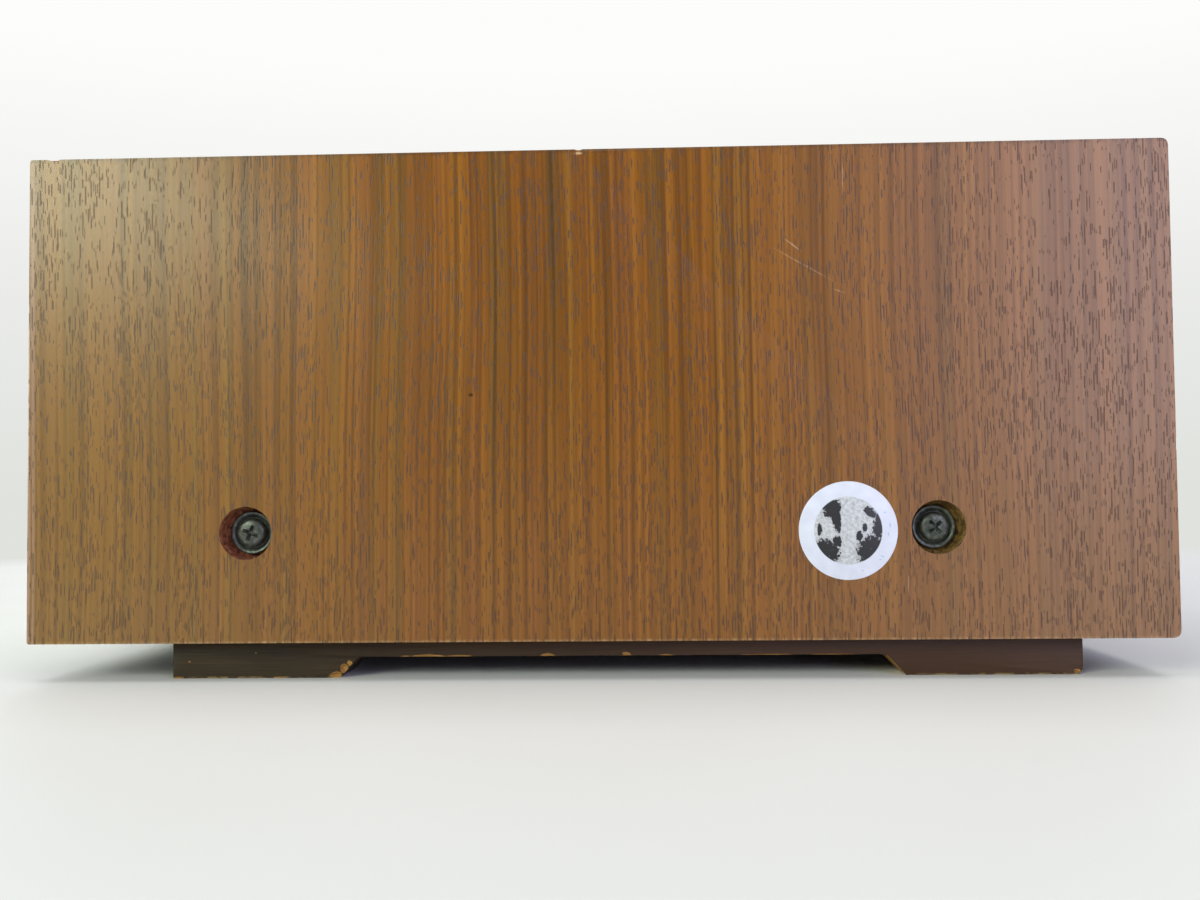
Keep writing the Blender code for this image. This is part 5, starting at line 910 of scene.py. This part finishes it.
scale = bmesh.new()
bar(scale, (SCALE_LEFT + SCALE_RIGHT) / 2, SCALE_LINE, SCALE_RIGHT - SCALE_LEFT + 6 * MM, 0.35 * MM,
    SHEET_FACE - PRINT, PRINT)
for step in range(41):
    x = SCALE_LEFT + (SCALE_RIGHT - SCALE_LEFT) * step / 40
    tall = 3.4 * MM if step % 8 == 0 else (2.4 * MM if step % 4 == 0 else 1.4 * MM)
    bar(scale, x, SCALE_LINE + 0.9 * MM + tall / 2, 0.35 * MM, tall, SHEET_FACE - PRINT, PRINT)
for number in range(6):
    figures(scale, str(88 + 4 * number), SCALE_LEFT + (SCALE_RIGHT - SCALE_LEFT) * number / 5, 0.1312,
            5.6 * MM, SHEET_FACE)
AM_FIGURES = (54, 60, 70, 80, 100, 120, 140, 160)
for figure in AM_FIGURES:
    share = (figure / 54 - 1) ** 0.72 / (160 / 54 - 1) ** 0.72
    x = SCALE_LEFT + (SCALE_RIGHT - SCALE_LEFT) * share
    bar(scale, x, SCALE_LINE - 0.9 * MM - 1.2 * MM, 0.35 * MM, 2.4 * MM, SHEET_FACE - PRINT, PRINT)
    figures(scale, str(figure), x, 0.1144, 5.0 * MM, SHEET_FACE)
for step in range(11):
    x = SCALE_LEFT + (SCALE_RIGHT - SCALE_LEFT) * step / 10
    bar(scale, x, 0.1068, 0.35 * MM, 1.2 * MM, SHEET_FACE - PRINT, PRINT)
    if step % 2 == 0:
        figures(scale, str(step * 10), x, 0.1034, 3.2 * MM, SHEET_FACE)
settle(mesh_object("dial_scale_print", scale), cream, "case", "dial_lacquer")

# Frosted lamp glass: a warm off-white that light passes through
lamp_glass, tree = material("frosted_warm_lamp_glass")
frost = add(tree, "TexNoise", {"Vector": add(tree, "TexCoord").outputs["Object"], "Scale": 1 / (0.6 * MM),
                               "Detail": 3.0})
tone = add(tree, "ValToRGB", {"Fac": frost}, [(0.3, "#e9dfbe"), (0.7, "#f4eedb")])
rough = add(tree, "MapRange", {0: frost, 3: 0.15, 4: 0.35})
finish(tree, base_color=tone, roughness=rough, ior=1.5, transmission_weight=0.5)
ease(dress("lamp_bar", lamp_glass), 0.25 * MM)

# Moulded plastics of the front: each a satin with the faint orange peel of its mould


def moulded(name, low, high, rough=0.42, speckle=0.6):
    """A moulded plastic: near-even colour, satin, with a fine pitted texture."""
    made, tree = material(name)
    place = add(tree, "TexCoord").outputs["Object"]
    peel = add(tree, "TexNoise", {"Vector": place, "Scale": 1 / (speckle * MM), "Detail": 3.0})
    cloud = add(tree, "TexNoise", {"Vector": place, "Scale": 1 / (18 * MM), "Detail": 2.0})
    both = add(tree, "Math", {0: peel, 1: 0.4,
                              2: add(tree, "Math", {0: cloud, 1: 0.6}, operation="MULTIPLY")},
               operation="MULTIPLY_ADD")
    tone = add(tree, "ValToRGB", {"Fac": both}, [(0.35, low), (0.65, high)])
    gloss = add(tree, "MapRange", {0: cloud, 1: 0.3, 2: 0.7, 3: rough - 0.06, 4: rough + 0.08})
    bump = add(tree, "Bump", {"Height": peel, "Strength": 0.2, "Distance": 0.05 * MM})
    finish(tree, base_color=tone, roughness=gloss, normal=bump)
    return made


red_plastic = moulded("moulded_red_styrene", "#b3241b", "#c53326")
white_plastic = moulded("moulded_white_styrene", "#d3cfc2", "#e0dccf")
black_plastic = moulded("moulded_black_abs", "#1b1b1c", "#29292a")
ease(dress("dial_pointer", red_plastic), 0.12 * MM, 1)
for node in ("idler_left", "idler_right", "tuning_drum"):
    ease(dress(node, white_plastic), 0.2 * MM, 1)

# Nylon cord: dull buff with a slanting braid
nylon, tree = material("braided_nylon_cord")
place = add(tree, "TexCoord").outputs["Object"]
braid = add(tree, "TexWave", {"Vector": place, "Scale": 1 / (1.2 * MM), "Distortion": 2.0},
            bands_direction="DIAGONAL")
tone = add(tree, "ValToRGB", {"Fac": braid.outputs["Fac"]}, [(0.0, "#a99f82"), (1.0, "#d8cfb2")])
bump = add(tree, "Bump", {"Height": braid.outputs["Fac"], "Strength": 0.5, "Distance": 0.1 * MM})
finish(tree, base_color=tone, roughness=0.7, normal=bump)
dress("dial_cord", nylon)

# The two meters.
# White cases set behind the same window. The printed card has an arc of ticks with plain figures
# on the signal meter and a centre mark on the tuning one, and the needles are red.

METER_FACE = FACE + 17.5 * MM
METER_PIVOT = 0.107
METER_ARC = 23.2 * MM  # the radius of the printed arc
METER_SWING = 38
# Meter card: warm white paper, with a painted yellow lamp glow towards the lamps below
card, tree = material("warm_white_printed_card")
place = add(tree, "TexCoord").outputs["Object"]
fibre = add(tree, "TexNoise", {"Vector": place, "Scale": 1 / (0.7 * MM), "Detail": 4.0})
painted_lamp_glow = add(tree, "MapRange", {0: add(tree, "SeparateXYZ", {0: place}).outputs["Z"], 1: 0.101, 2: 0.145,
                                  3: 0.25, 4: 0.0})
tone = add(tree, "ValToRGB", {"Fac": fibre}, [(0.3, "#dcd6c2"), (0.7, "#e9e4d4")])
tone = add(tree, "Mix", {0: painted_lamp_glow, 6: tone, 7: linear("#e4d3a0")}, data_type="RGBA")
finish(tree, base_color=tone.outputs[2], roughness=0.6)

for meter, x in (("signal", -0.183), ("tuning", -0.140)):
    ease(dress("meter_case_" + meter, card), 0.25 * MM, 1)
    ease(dress("meter_needle_" + meter, red_plastic), 0.1 * MM, 1)
    marks = bmesh.new()
    steps = 10 if meter == "signal" else 8
    for n in range(steps + 1):
        angle = radians(-METER_SWING + 2 * METER_SWING * n / steps)
        tall = 3.0 * MM if n % 2 == 0 else 1.8 * MM
        reach = METER_ARC + tall / 2
        bar(marks, x + reach * sin(angle), METER_PIVOT + reach * cos(angle), 0.4 * MM, tall,
            METER_FACE - PRINT, PRINT, -angle)
    for n in range(24):  # the arc under the ticks
        angle = radians(-METER_SWING + 2 * METER_SWING * (n + 0.5) / 24)
        bar(marks, x + METER_ARC * sin(angle), METER_PIVOT + METER_ARC * cos(angle),
            23.4 * MM * radians(76) / 24, 0.3 * MM, METER_FACE - PRINT, PRINT, -angle)
    if meter == "signal":
        for n in range(6):
            angle = radians(-METER_SWING + 2 * METER_SWING * n / 5)
            figures(marks, str(n), x + 30.2 * MM * sin(angle) * 0.88, METER_PIVOT + 30.6 * MM * cos(angle),
                    3.4 * MM, METER_FACE)
    else:
        bar(marks, x, METER_PIVOT + 30.2 * MM, 2.2 * MM, 3.0 * MM, METER_FACE - PRINT, PRINT)
    settle(mesh_object("meter_marks_" + meter, marks), ink, "case", "white_plastic")

# The knobs.
# Turned from aluminium bar: a thin skirt, a fluted grip, a polished chamfer and a dished face spun
# with fine rings. A black line is cut in each face. Each is pushed onto its 6 mm shaft.

KNOB_BACK, KNOB_FRONT = -0.1747, -0.1935
BORE_END = -0.1878  # of the tuning knob, which has no shaft of its own
FLUTES = 36
FLUTE_DEPTH = 0.5 * MM
# Spun aluminium: soft grey metal whose fine rings spread the highlights round
spun, tree = material("turned_and_spun_aluminium")
axes = add(tree, "SeparateXYZ", {0: add(tree, "TexCoord").outputs["Object"]})
flat_place = add(tree, "CombineXYZ", {0: axes.outputs["X"], 1: axes.outputs["Z"]})
reach = add(tree, "VectorMath", {0: flat_place}, operation="LENGTH").outputs["Value"]
turns = add(tree, "Math", {0: reach, 1: 1 / (0.22 * MM)}, operation="MULTIPLY")
rings = add(tree, "TexNoise", {"W": turns, "Scale": 1.0, "Detail": 3.0}, noise_dimensions="1D")
length = add(tree, "Math", {0: axes.outputs["Y"], 1: 1 / (0.25 * MM)}, operation="MULTIPLY")
bands = add(tree, "TexNoise", {"W": length, "Scale": 1.0, "Detail": 2.0}, noise_dimensions="1D")
both = add(tree, "Math", {0: rings, 1: bands})
both = add(tree, "Math", {0: both, 1: 0.5}, operation="MULTIPLY")
tone = add(tree, "ValToRGB", {"Fac": both}, [(0.35, "#9c9c9a"), (0.65, "#c0c0bd")])
rough = add(tree, "MapRange", {0: both, 1: 0.35, 2: 0.65, 3: 0.20, 4: 0.34})
bump = add(tree, "Bump", {"Height": both, "Strength": 0.25, "Distance": 0.05 * MM})
finish(tree, base_color=tone, metallic=1.0, roughness=rough, normal=bump)


def make_knob(node, body, x, z, radius, shaft_end=None):
    """A knob on its own axis, with its shaft or with a bore for it, and its index line."""
    grip = radius * 0.86
    rim = grip * 0.93
    if shaft_end:
        inner = [(0.0, shaft_end), (2.7 * MM, shaft_end), (3 * MM, shaft_end - 0.3 * MM), (3 * MM, KNOB_BACK)]
    else:
        inner = [(0.0, BORE_END), (3.3 * MM, BORE_END), (3.3 * MM, KNOB_BACK)]
    profile = inner + [
        (radius - 0.3 * MM, KNOB_BACK), (radius, KNOB_BACK - 0.3 * MM), (radius, KNOB_BACK - 2.1 * MM),
        (radius - 0.35 * MM, KNOB_BACK - 2.6 * MM), (grip + 0.5 * MM, KNOB_BACK - 2.9 * MM),
        (grip - 0.1 * MM, KNOB_BACK - 3.3 * MM), (grip, KNOB_BACK - 3.8 * MM),
        (grip, KNOB_FRONT + 2.4 * MM), (grip - 0.15 * MM, KNOB_FRONT + 1.9 * MM),
        (rim, KNOB_FRONT + 0.25 * MM), (rim - 0.3 * MM, KNOB_FRONT), (rim - 0.9 * MM, KNOB_FRONT),
        (rim - 1.2 * MM, KNOB_FRONT + 0.35 * MM), (rim * 0.5, KNOB_FRONT + 0.55 * MM),
        (0.0, KNOB_FRONT + 0.6 * MM)]
    form = turned(profile, "Y", 0.0, 0.0, FLUTES * 4)
    grip_back, grip_front = KNOB_BACK - 3.7 * MM, KNOB_FRONT + 2.3 * MM
    for vert in form.verts:
        away = (vert.co.x ** 2 + vert.co.z ** 2) ** 0.5
        if away > grip - 0.05 * MM and grip_front - 0.2 * MM < vert.co.y < grip_back + 0.2 * MM:
            angle = atan2(vert.co.z, vert.co.x)
            less = 1 - FLUTE_DEPTH * (0.5 - 0.5 * cos(FLUTES * angle)) / away
            vert.co.x *= less
            vert.co.z *= less
    made = mesh_object(node + "_piece", form, 50)
    made.data.materials.append(spun)
    made.data.materials.append(ink)
    half = 0.6 * MM
    low, high = radius * 0.30, radius * 0.74
    line = [(-half, low), (half, low), (half, high), (-half, high)]
    carve(made, tool(prism(line, KNOB_FRONT - 1 * MM, KNOB_FRONT + 1.0 * MM, "Y"), ink))
    made.data.set_sharp_from_angle(angle=radians(50))
    made.location = (x, 0.0, z)
    return settle(made, spun, body, "turned_aluminium", node)


SHAFT_END = -0.1535
make_knob("tuning_knob", "tuning", 0.182, 0.123, 23 * MM)
for node, (x, radius, swing) in KNOBS.items():
    body = "speaker_selector" if node == "speaker_knob" else node.removesuffix("_knob")
    make_knob(node, body, x, ROW_RISE, radius * MM, SHAFT_END)

# Bright steel, turned and nickel plated: the flywheel, the tuner's frame and the jacks' shells
nickel, tree = material("nickel_plated_turned_steel")
place = add(tree, "TexCoord").outputs["Object"]
film = add(tree, "TexNoise", {"Vector": place, "Scale": 1 / (3 * MM), "Detail": 3.0})
tone = add(tree, "ValToRGB", {"Fac": film}, [(0.3, "#a9a69d"), (0.7, "#c9c6bd")])
rough = add(tree, "MapRange", {0: film, 1: 0.3, 2: 0.7, 3: 0.16, 4: 0.30})
finish(tree, base_color=tone, metallic=1.0, roughness=rough)
for node in ("tuning_flywheel", "tuning_gang"):
    ease(dress(node, nickel), 0.2 * MM, 1)

# The power button, the lever switches and the headphone jack.
# The button is a turned aluminium cap on a stem. The levers are flat aluminium bats on a bar of
# black plastic behind the plate, and the jack is a plated nut and barrel on a plastic body.

POWER_X, JACK_X = -0.201, -0.168
button = turned([(0.0, -0.1815), (4.6 * MM, -0.1817), (5.2 * MM, -0.182), (5.7 * MM, -0.182),
                 (6.3 * MM, -0.1816), (6.5 * MM, -0.1809), (6.5 * MM, -0.1687), (2.4 * MM, -0.1687),
                 (2.4 * MM, -0.1562), (2.2 * MM, -0.156), (0.0, -0.156)], "Y", 0.0, 0.0, 72)
button = mesh_object("power_button_piece", button)
button.location = (POWER_X, 0.0, ROW_RISE)
settle(button, spun, "power", "turned_aluminium", "power_button")

bat_metal = brushed("satin_aluminium_lever", "Y", "#d2d2ce", "#bbbbb8", 0.08)
for number in range(1, 5):
    ease(dress("lever_switch_" + str(number), bat_metal), 0.45 * MM, 3)
ease(dress("switch_bank", black_plastic), 0.3 * MM, 1)

form = turned([(3.3 * MM, -0.1758), (5.6 * MM, -0.1758), (6.4 * MM, -0.1756), (6.8 * MM, -0.1751),
               (6.8 * MM, -0.1738), (4.6 * MM, -0.1738), (4.6 * MM, -0.1620), (3.3 * MM, -0.1620)], "Y",
               0.0, 0.0, 72, True)
for vert in form.verts:  # two flats for the spanner
    vert.co.z = max(-6.1 * MM, min(6.1 * MM, vert.co.z))
jack = mesh_object("phone_jack_nut", form)
jack.location = (JACK_X, 0.0, ROW_RISE)
settle(jack, nickel, "case", "bright_steel", "phone_jack")
jack_body = prism(eased([(JACK_X - 8 * MM, ROW_RISE - 7 * MM, 0.8 * MM),
                         (JACK_X + 8 * MM, ROW_RISE - 7 * MM, 0.8 * MM),
                         (JACK_X + 8 * MM, ROW_RISE + 7 * MM, 0.8 * MM),
                         (JACK_X - 8 * MM, ROW_RISE + 7 * MM, 0.8 * MM)]),
                  -0.1624, -0.1355, "Y")
jack_body = mesh_object("phone_jack_body", jack_body)
jack_body.data.materials.append(black_plastic)
carve(jack_body, tool(turned([(0.0, -0.17), (3.3 * MM, -0.17), (3.3 * MM, -0.1405), (0.0, -0.1405)], "Y",
                             JACK_X, ROW_RISE, 48), black_plastic))
settle(jack_body, black_plastic, "case", "black_plastic")

# The rear panel and its fittings.
# Steel sheet sprayed satin black. On it stand a phenolic strip of phono jacks, the moulded speaker
# and antenna terminals, the bar antenna, the fuse, the outlet and the grommet of the cord.

# Sprayed steel: satin black with orange peel, dusty towards its foot
spray, tree = material("sprayed_satin_black_steel")
place = add(tree, "TexCoord").outputs["Object"]
peel = add(tree, "TexNoise", {"Vector": place, "Scale": 1 / (0.7 * MM), "Detail": 3.0})
cloud = add(tree, "TexNoise", {"Vector": place, "Scale": 1 / (40 * MM), "Detail": 3.0})
dusty = add(tree, "MapRange", {0: add(tree, "SeparateXYZ", {0: place}).outputs["Z"], 1: 0.02, 2: 0.07,
                               3: 0.12, 4: 0.0})
tone = add(tree, "ValToRGB", {"Fac": cloud}, [(0.3, "#1a1a1b"), (0.7, "#242425")])
tone = add(tree, "Mix", {0: dusty, 6: tone, 7: linear("#5a554c")}, data_type="RGBA")
bump = add(tree, "Bump", {"Height": peel, "Strength": 0.3, "Distance": 0.05 * MM})
rough = add(tree, "MapRange", {0: cloud, 1: 0.3, 2: 0.7, 3: 0.42, 4: 0.55})
finish(tree, base_color=tone.outputs[2], roughness=rough, normal=bump)
ease(dress("rear_panel", spray), 0.2 * MM, 1)

# Phenolic board: a dull mottled brown
phenolic, tree = material("pressed_phenolic_paper_board")
place = add(tree, "TexCoord").outputs["Object"]
fibre = add(tree, "TexNoise", {"Vector": place, "Scale": 1 / (1.2 * MM), "Detail": 4.0})
tone = add(tree, "ValToRGB", {"Fac": fibre}, [(0.3, "#6e4a24"), (0.7, "#86602f")])
finish(tree, base_color=tone, roughness=0.45)

REAR_FOOT = 0.1758  # where the fittings sit on the panel


def slab(name, x, z, width, height, low, high, round_corner, finish_used, slot, *stands_for):
    """A plate on the rear panel with rounded corners and eased edges."""
    corners = [(x - width / 2, z - height / 2, round_corner), (x + width / 2, z - height / 2, round_corner),
               (x + width / 2, z + height / 2, round_corner), (x - width / 2, z + height / 2, round_corner)]
    made = mesh_object(name, prism(eased(corners), low, high, "Y"))
    made.data.materials.append(finish_used)
    return ease(settle(made, finish_used, "case", slot, *stands_for), 0.25 * MM)


def screw_shape(form, x, z, radius, foot, height):
    """Adds a cheese-head screw that faces the rear."""
    turned([(0.0, foot - 0.2 * MM), (radius, foot - 0.2 * MM), (radius, foot + height * 0.55),
            (radius * 0.88, foot + height * 0.9), (radius * 0.6, foot + height), (0.0, foot + height)], "Y",
            x, z, 32, form=form)


def outer_cross(target, x, z, radius, top, turn):
    """Cuts a cross in a screw's head."""
    blades = []
    for extra in (0, 90):
        angle = radians(turn + extra)
        corners = [(-radius * 0.62, -0.35 * MM), (radius * 0.62, -0.35 * MM), (radius * 0.62, 0.35 * MM),
                   (-radius * 0.62, 0.35 * MM)]
        outline = [(x + a * cos(angle) - b * sin(angle), z + a * sin(angle) + b * cos(angle))
                   for a, b in corners]
        blades.append(tool(prism(outline, top - 0.9 * MM, top + 1 * MM, "Y"), oxide))
    carve(target, *blades)


# Phono jacks: ten turned shells, nickel plated, round white and red plastic insulators. They stand
# in two rows on one strip of phenolic board that lies on the rear panel.
PHONO_X, PHONO_Z, PHONO_PITCH = 0.100, 0.085, 0.019
slab("phono_strip_plate", PHONO_X, PHONO_Z, 0.095, 0.038, REAR_FOOT, REAR_FOOT + 2 * MM, 1 * MM, phenolic,
     "phenolic_board", "phono_jack_strip")
for row, (z, rubber) in enumerate(((0.0755, red_plastic), (0.0945, white_plastic))):
    shells, cores = bmesh.new(), bmesh.new()
    for column in range(5):
        x = PHONO_X + (column - 2) * PHONO_PITCH
        top = REAR_FOOT + 10.5 * MM
        turned([(3.3 * MM, top), (4.0 * MM, top), (4.2 * MM, top - 0.2 * MM),
                (4.2 * MM, REAR_FOOT + 3.2 * MM), (6.2 * MM, REAR_FOOT + 3.2 * MM),
                (6.4 * MM, REAR_FOOT + 3.0 * MM), (6.4 * MM, REAR_FOOT + 1.9 * MM),
                (3.3 * MM, REAR_FOOT + 1.9 * MM)], "Y", x, z, 40, True, shells)
        turned([(1.6 * MM, top - 0.8 * MM), (3.2 * MM, top - 0.8 * MM), (3.3 * MM, top - 1.0 * MM),
                (3.3 * MM, REAR_FOOT + 1.9 * MM), (1.6 * MM, REAR_FOOT + 1.9 * MM)], "Y", x, z, 32, True,
                cores)
    settle(mesh_object("phono_shells_" + str(row), shells), nickel, "case", "bright_steel")
    settle(mesh_object("phono_insulators_" + str(row), cores), rubber, "case",
           "white_plastic" if row else "red_plastic")

# Speaker terminals: knurled plastic caps, four red ones over four black ones, on plated posts.
# The posts stand on one moulded black block.
SPEAKER_X, SPEAKER_Z, SPEAKER_PITCH = -0.045, 0.085, 0.024
slab("speaker_block", SPEAKER_X, SPEAKER_Z, 0.096, 0.036, REAR_FOOT, REAR_FOOT + 6 * MM, 1.5 * MM,
     black_plastic, "black_plastic", "speaker_terminals")
for row, (z, cap_finish) in enumerate(((0.076, black_plastic), (0.094, red_plastic))):
    caps, tips = bmesh.new(), bmesh.new()
    for column in range(4):
        x = SPEAKER_X + (column - 1.5) * SPEAKER_PITCH
        low, high = REAR_FOOT + 5.8 * MM, REAR_FOOT + 13.2 * MM
        knurl = [(x + (5.4 + 0.22 * cos(pi * n)) * MM * cos(pi * n / 24),
                  z + (5.4 + 0.22 * cos(pi * n)) * MM * sin(pi * n / 24))
                 for n in range(48)]
        prism(knurl, low + 1.2 * MM, high - 0.8 * MM, "Y", caps)
        turned([(0.0, low), (4.7 * MM, low), (4.7 * MM, high - 0.4 * MM), (4.2 * MM, high), (0.0, high)],
               "Y", x, z, 40, form=caps)
        turned([(0.0, high - 0.2 * MM), (2.2 * MM, high - 0.2 * MM), (2.2 * MM, high + 0.5 * MM),
                (1.9 * MM, high + 0.8 * MM), (0.0, high + 0.8 * MM)], "Y", x, z, 32, form=tips)
    settle(mesh_object("speaker_caps_" + str(row), caps), cap_finish, "case",
           "red_plastic" if row else "black_plastic")
    settle(mesh_object("speaker_post_tips_" + str(row), tips), nickel, "case", "bright_steel")

# Antenna terminals: four cross-head screws, nickel plated, each turned home to its own angle.
# They stand on a moulded black block.
ANTENNA_X, ANTENNA_Z, ANTENNA_PITCH = 0.165, 0.128, 0.012
ANTENNA_HEAD = 3.4 * MM
slab("antenna_block", ANTENNA_X, ANTENNA_Z, 0.048, 0.018, REAR_FOOT, REAR_FOOT + 6 * MM, 1 * MM,
     black_plastic, "black_plastic", "antenna_terminals")
heads = bmesh.new()
for column in range(4):
    screw_shape(heads, ANTENNA_X + (column - 1.5) * ANTENNA_PITCH, ANTENNA_Z, ANTENNA_HEAD,
                REAR_FOOT + 6 * MM, 2.2 * MM)
heads = mesh_object("antenna_screws", heads)
heads.data.materials.append(nickel)
for column in range(4):
    outer_cross(heads, ANTENNA_X + (column - 1.5) * ANTENNA_PITCH, ANTENNA_Z, ANTENNA_HEAD,
                REAR_FOOT + 8.2 * MM, 15 + 37 * column)
settle(heads, nickel, "case", "bright_steel")

# Fuse holder, outlet and antenna bracket: black plastic mouldings. The fuse sits behind a round
# bayonet cap with a slot for a screwdriver.
FUSE_X, FUSE_Z = -0.120, 0.085
fuse = turned([(0.0, 0.1865), (5.2 * MM, 0.1865), (5.8 * MM, 0.1862), (6.1 * MM, 0.1855),
               (6.7 * MM, 0.1800), (7.4 * MM, 0.1796), (7.5 * MM, 0.1790), (7.5 * MM, 0.1758),
               (6.0 * MM, 0.1758), (6.0 * MM, 0.1535), (0.0, 0.1535)],
              "Y", FUSE_X, FUSE_Z, 64)
fuse = mesh_object("fuse_holder_piece", fuse)
fuse.data.materials.append(black_plastic)
slot_outline = [(FUSE_X - 4.5 * MM, FUSE_Z - 0.6 * MM), (FUSE_X + 4.5 * MM, FUSE_Z - 0.6 * MM),
                (FUSE_X + 4.5 * MM, FUSE_Z + 0.6 * MM), (FUSE_X - 4.5 * MM, FUSE_Z + 0.6 * MM)]
carve(fuse, tool(prism(slot_outline, 0.1853, 0.19, "Y"), black_plastic))
settle(fuse, black_plastic, "case", "black_plastic", "fuse_holder")
ease(dress("power_outlet", black_plastic), 0.4 * MM)
ease(dress("antenna_bracket", black_plastic), 0.25 * MM, 1)

# Grommet: a ring of black plastic, pressed into the rear panel where the mains cord would leave.
# No cord is made, because none is in the photograph.
GROMMET_PLACE = (-0.200, 0.048)
grommet = turned([(4.5 * MM, 0.1783), (7.6 * MM, 0.1785), (8.6 * MM, 0.1781), (9.0 * MM, 0.1773),
                  (9.0 * MM, 0.1758), (6.5 * MM, 0.1758), (6.5 * MM, 0.1718), (4.5 * MM, 0.1718)], "Y",
                  *GROMMET_PLACE, 64, True)
settle(mesh_object("cord_grommet_piece", grommet), black_plastic, "case", "black_plastic", "cord_grommet")

# Bar antenna: a ferrite rod in a black plastic sleeve with ribs near each end. It swings on an
# upright pin between the two ears of its bracket.
BAR_PIVOT = 0.092
BAR_Y, BAR_Z, BAR_R = 0.1873, 0.138, 6.0 * MM
sleeve = [(0.0, 0.0960), (5.3 * MM, 0.0960), (5.6 * MM, 0.0957), (BAR_R, 0.0954 - 0.2 * MM), (BAR_R, 0.0844)]
for rib in range(3):
    start = 0.0840 - rib * 2.2 * MM
    sleeve += [(BAR_R - 0.35 * MM, start), (BAR_R - 0.35 * MM, start - 0.9 * MM), (BAR_R, start - 1.1 * MM),
               (BAR_R, start - 2.0 * MM)]
for rib in range(3):
    start = -0.0560 - rib * 2.2 * MM
    sleeve += [(BAR_R, start), (BAR_R - 0.35 * MM, start - 0.2 * MM), (BAR_R - 0.35 * MM, start - 1.1 * MM),
               (BAR_R, start - 1.3 * MM)]
sleeve += [(BAR_R, -0.0684), (5.6 * MM, -0.0690), (0.0, -0.0690)]
bar_piece = mesh_object("bar_antenna_piece", turned(sleeve, "X", BAR_Y, BAR_Z, 56))
bar_piece.data.materials.append(black_plastic)
carve(bar_piece, tool(turned([(0.0, BAR_Z - 0.02), (2.3 * MM, BAR_Z - 0.02), (2.3 * MM, BAR_Z + 0.02),
                              (0.0, BAR_Z + 0.02)], "Z", BAR_PIVOT, BAR_Y, 32), black_plastic))
settle(bar_piece, black_plastic, "ferrite_bar", "black_plastic", "bar_antenna")

# What stands inside: seen only through the air slots.
# A power transformer dipped in black lacquer, a black anodised heat sink, and two phenolic boards,
# one of them with its two filter cans.

# Transformer lacquer: black over the edges of the stacked leaves, shiny where it ran
dip, tree = material("dipped_black_transformer_lacquer")
place = add(tree, "TexCoord").outputs["Object"]
leaves = add(tree, "SeparateXYZ", {0: place}).outputs["Y"]
leaf = add(tree, "Math", {0: leaves, 1: 1 / (0.5 * MM)}, operation="MULTIPLY")
leaf = add(tree, "TexNoise", {"W": leaf, "Scale": 1.0, "Detail": 2.0}, noise_dimensions="1D")
runs = add(tree, "TexNoise", {"Vector": place, "Scale": 1 / (12 * MM), "Detail": 3.0})
tone = add(tree, "ValToRGB", {"Fac": leaf}, [(0.3, "#17171a"), (0.7, "#2b2a2c")])
rough = add(tree, "MapRange", {0: runs, 1: 0.3, 2: 0.7, 3: 0.25, 4: 0.5})
bump = add(tree, "Bump", {"Height": leaf, "Strength": 0.3, "Distance": 0.1 * MM})
finish(tree, base_color=tone, roughness=rough, normal=bump)
ease(dress("power_transformer", dip), 0.5 * MM, 2)

# Anodised aluminium: a soft black metal with lines along its extrusion
anodised, tree = material("black_anodised_extruded_aluminium")
place = add(tree, "TexCoord").outputs["Object"]
drawn = add(tree, "Mapping", {0: place, "Scale": (1 / (0.5 * MM), 1 / (0.5 * MM), 1 / (60 * MM))})
lines = add(tree, "TexNoise", {"Vector": drawn, "Scale": 1.0, "Detail": 2.0})
tone = add(tree, "ValToRGB", {"Fac": lines}, [(0.3, "#1d1e20"), (0.7, "#303134")])
finish(tree, base_color=tone, metallic=0.6, roughness=0.45)
ease(dress("heat_sink", anodised), 0.3 * MM, 1)
for node in ("amplifier_board", "control_board"):
    ease(dress(node, phenolic), 0.2 * MM, 1)
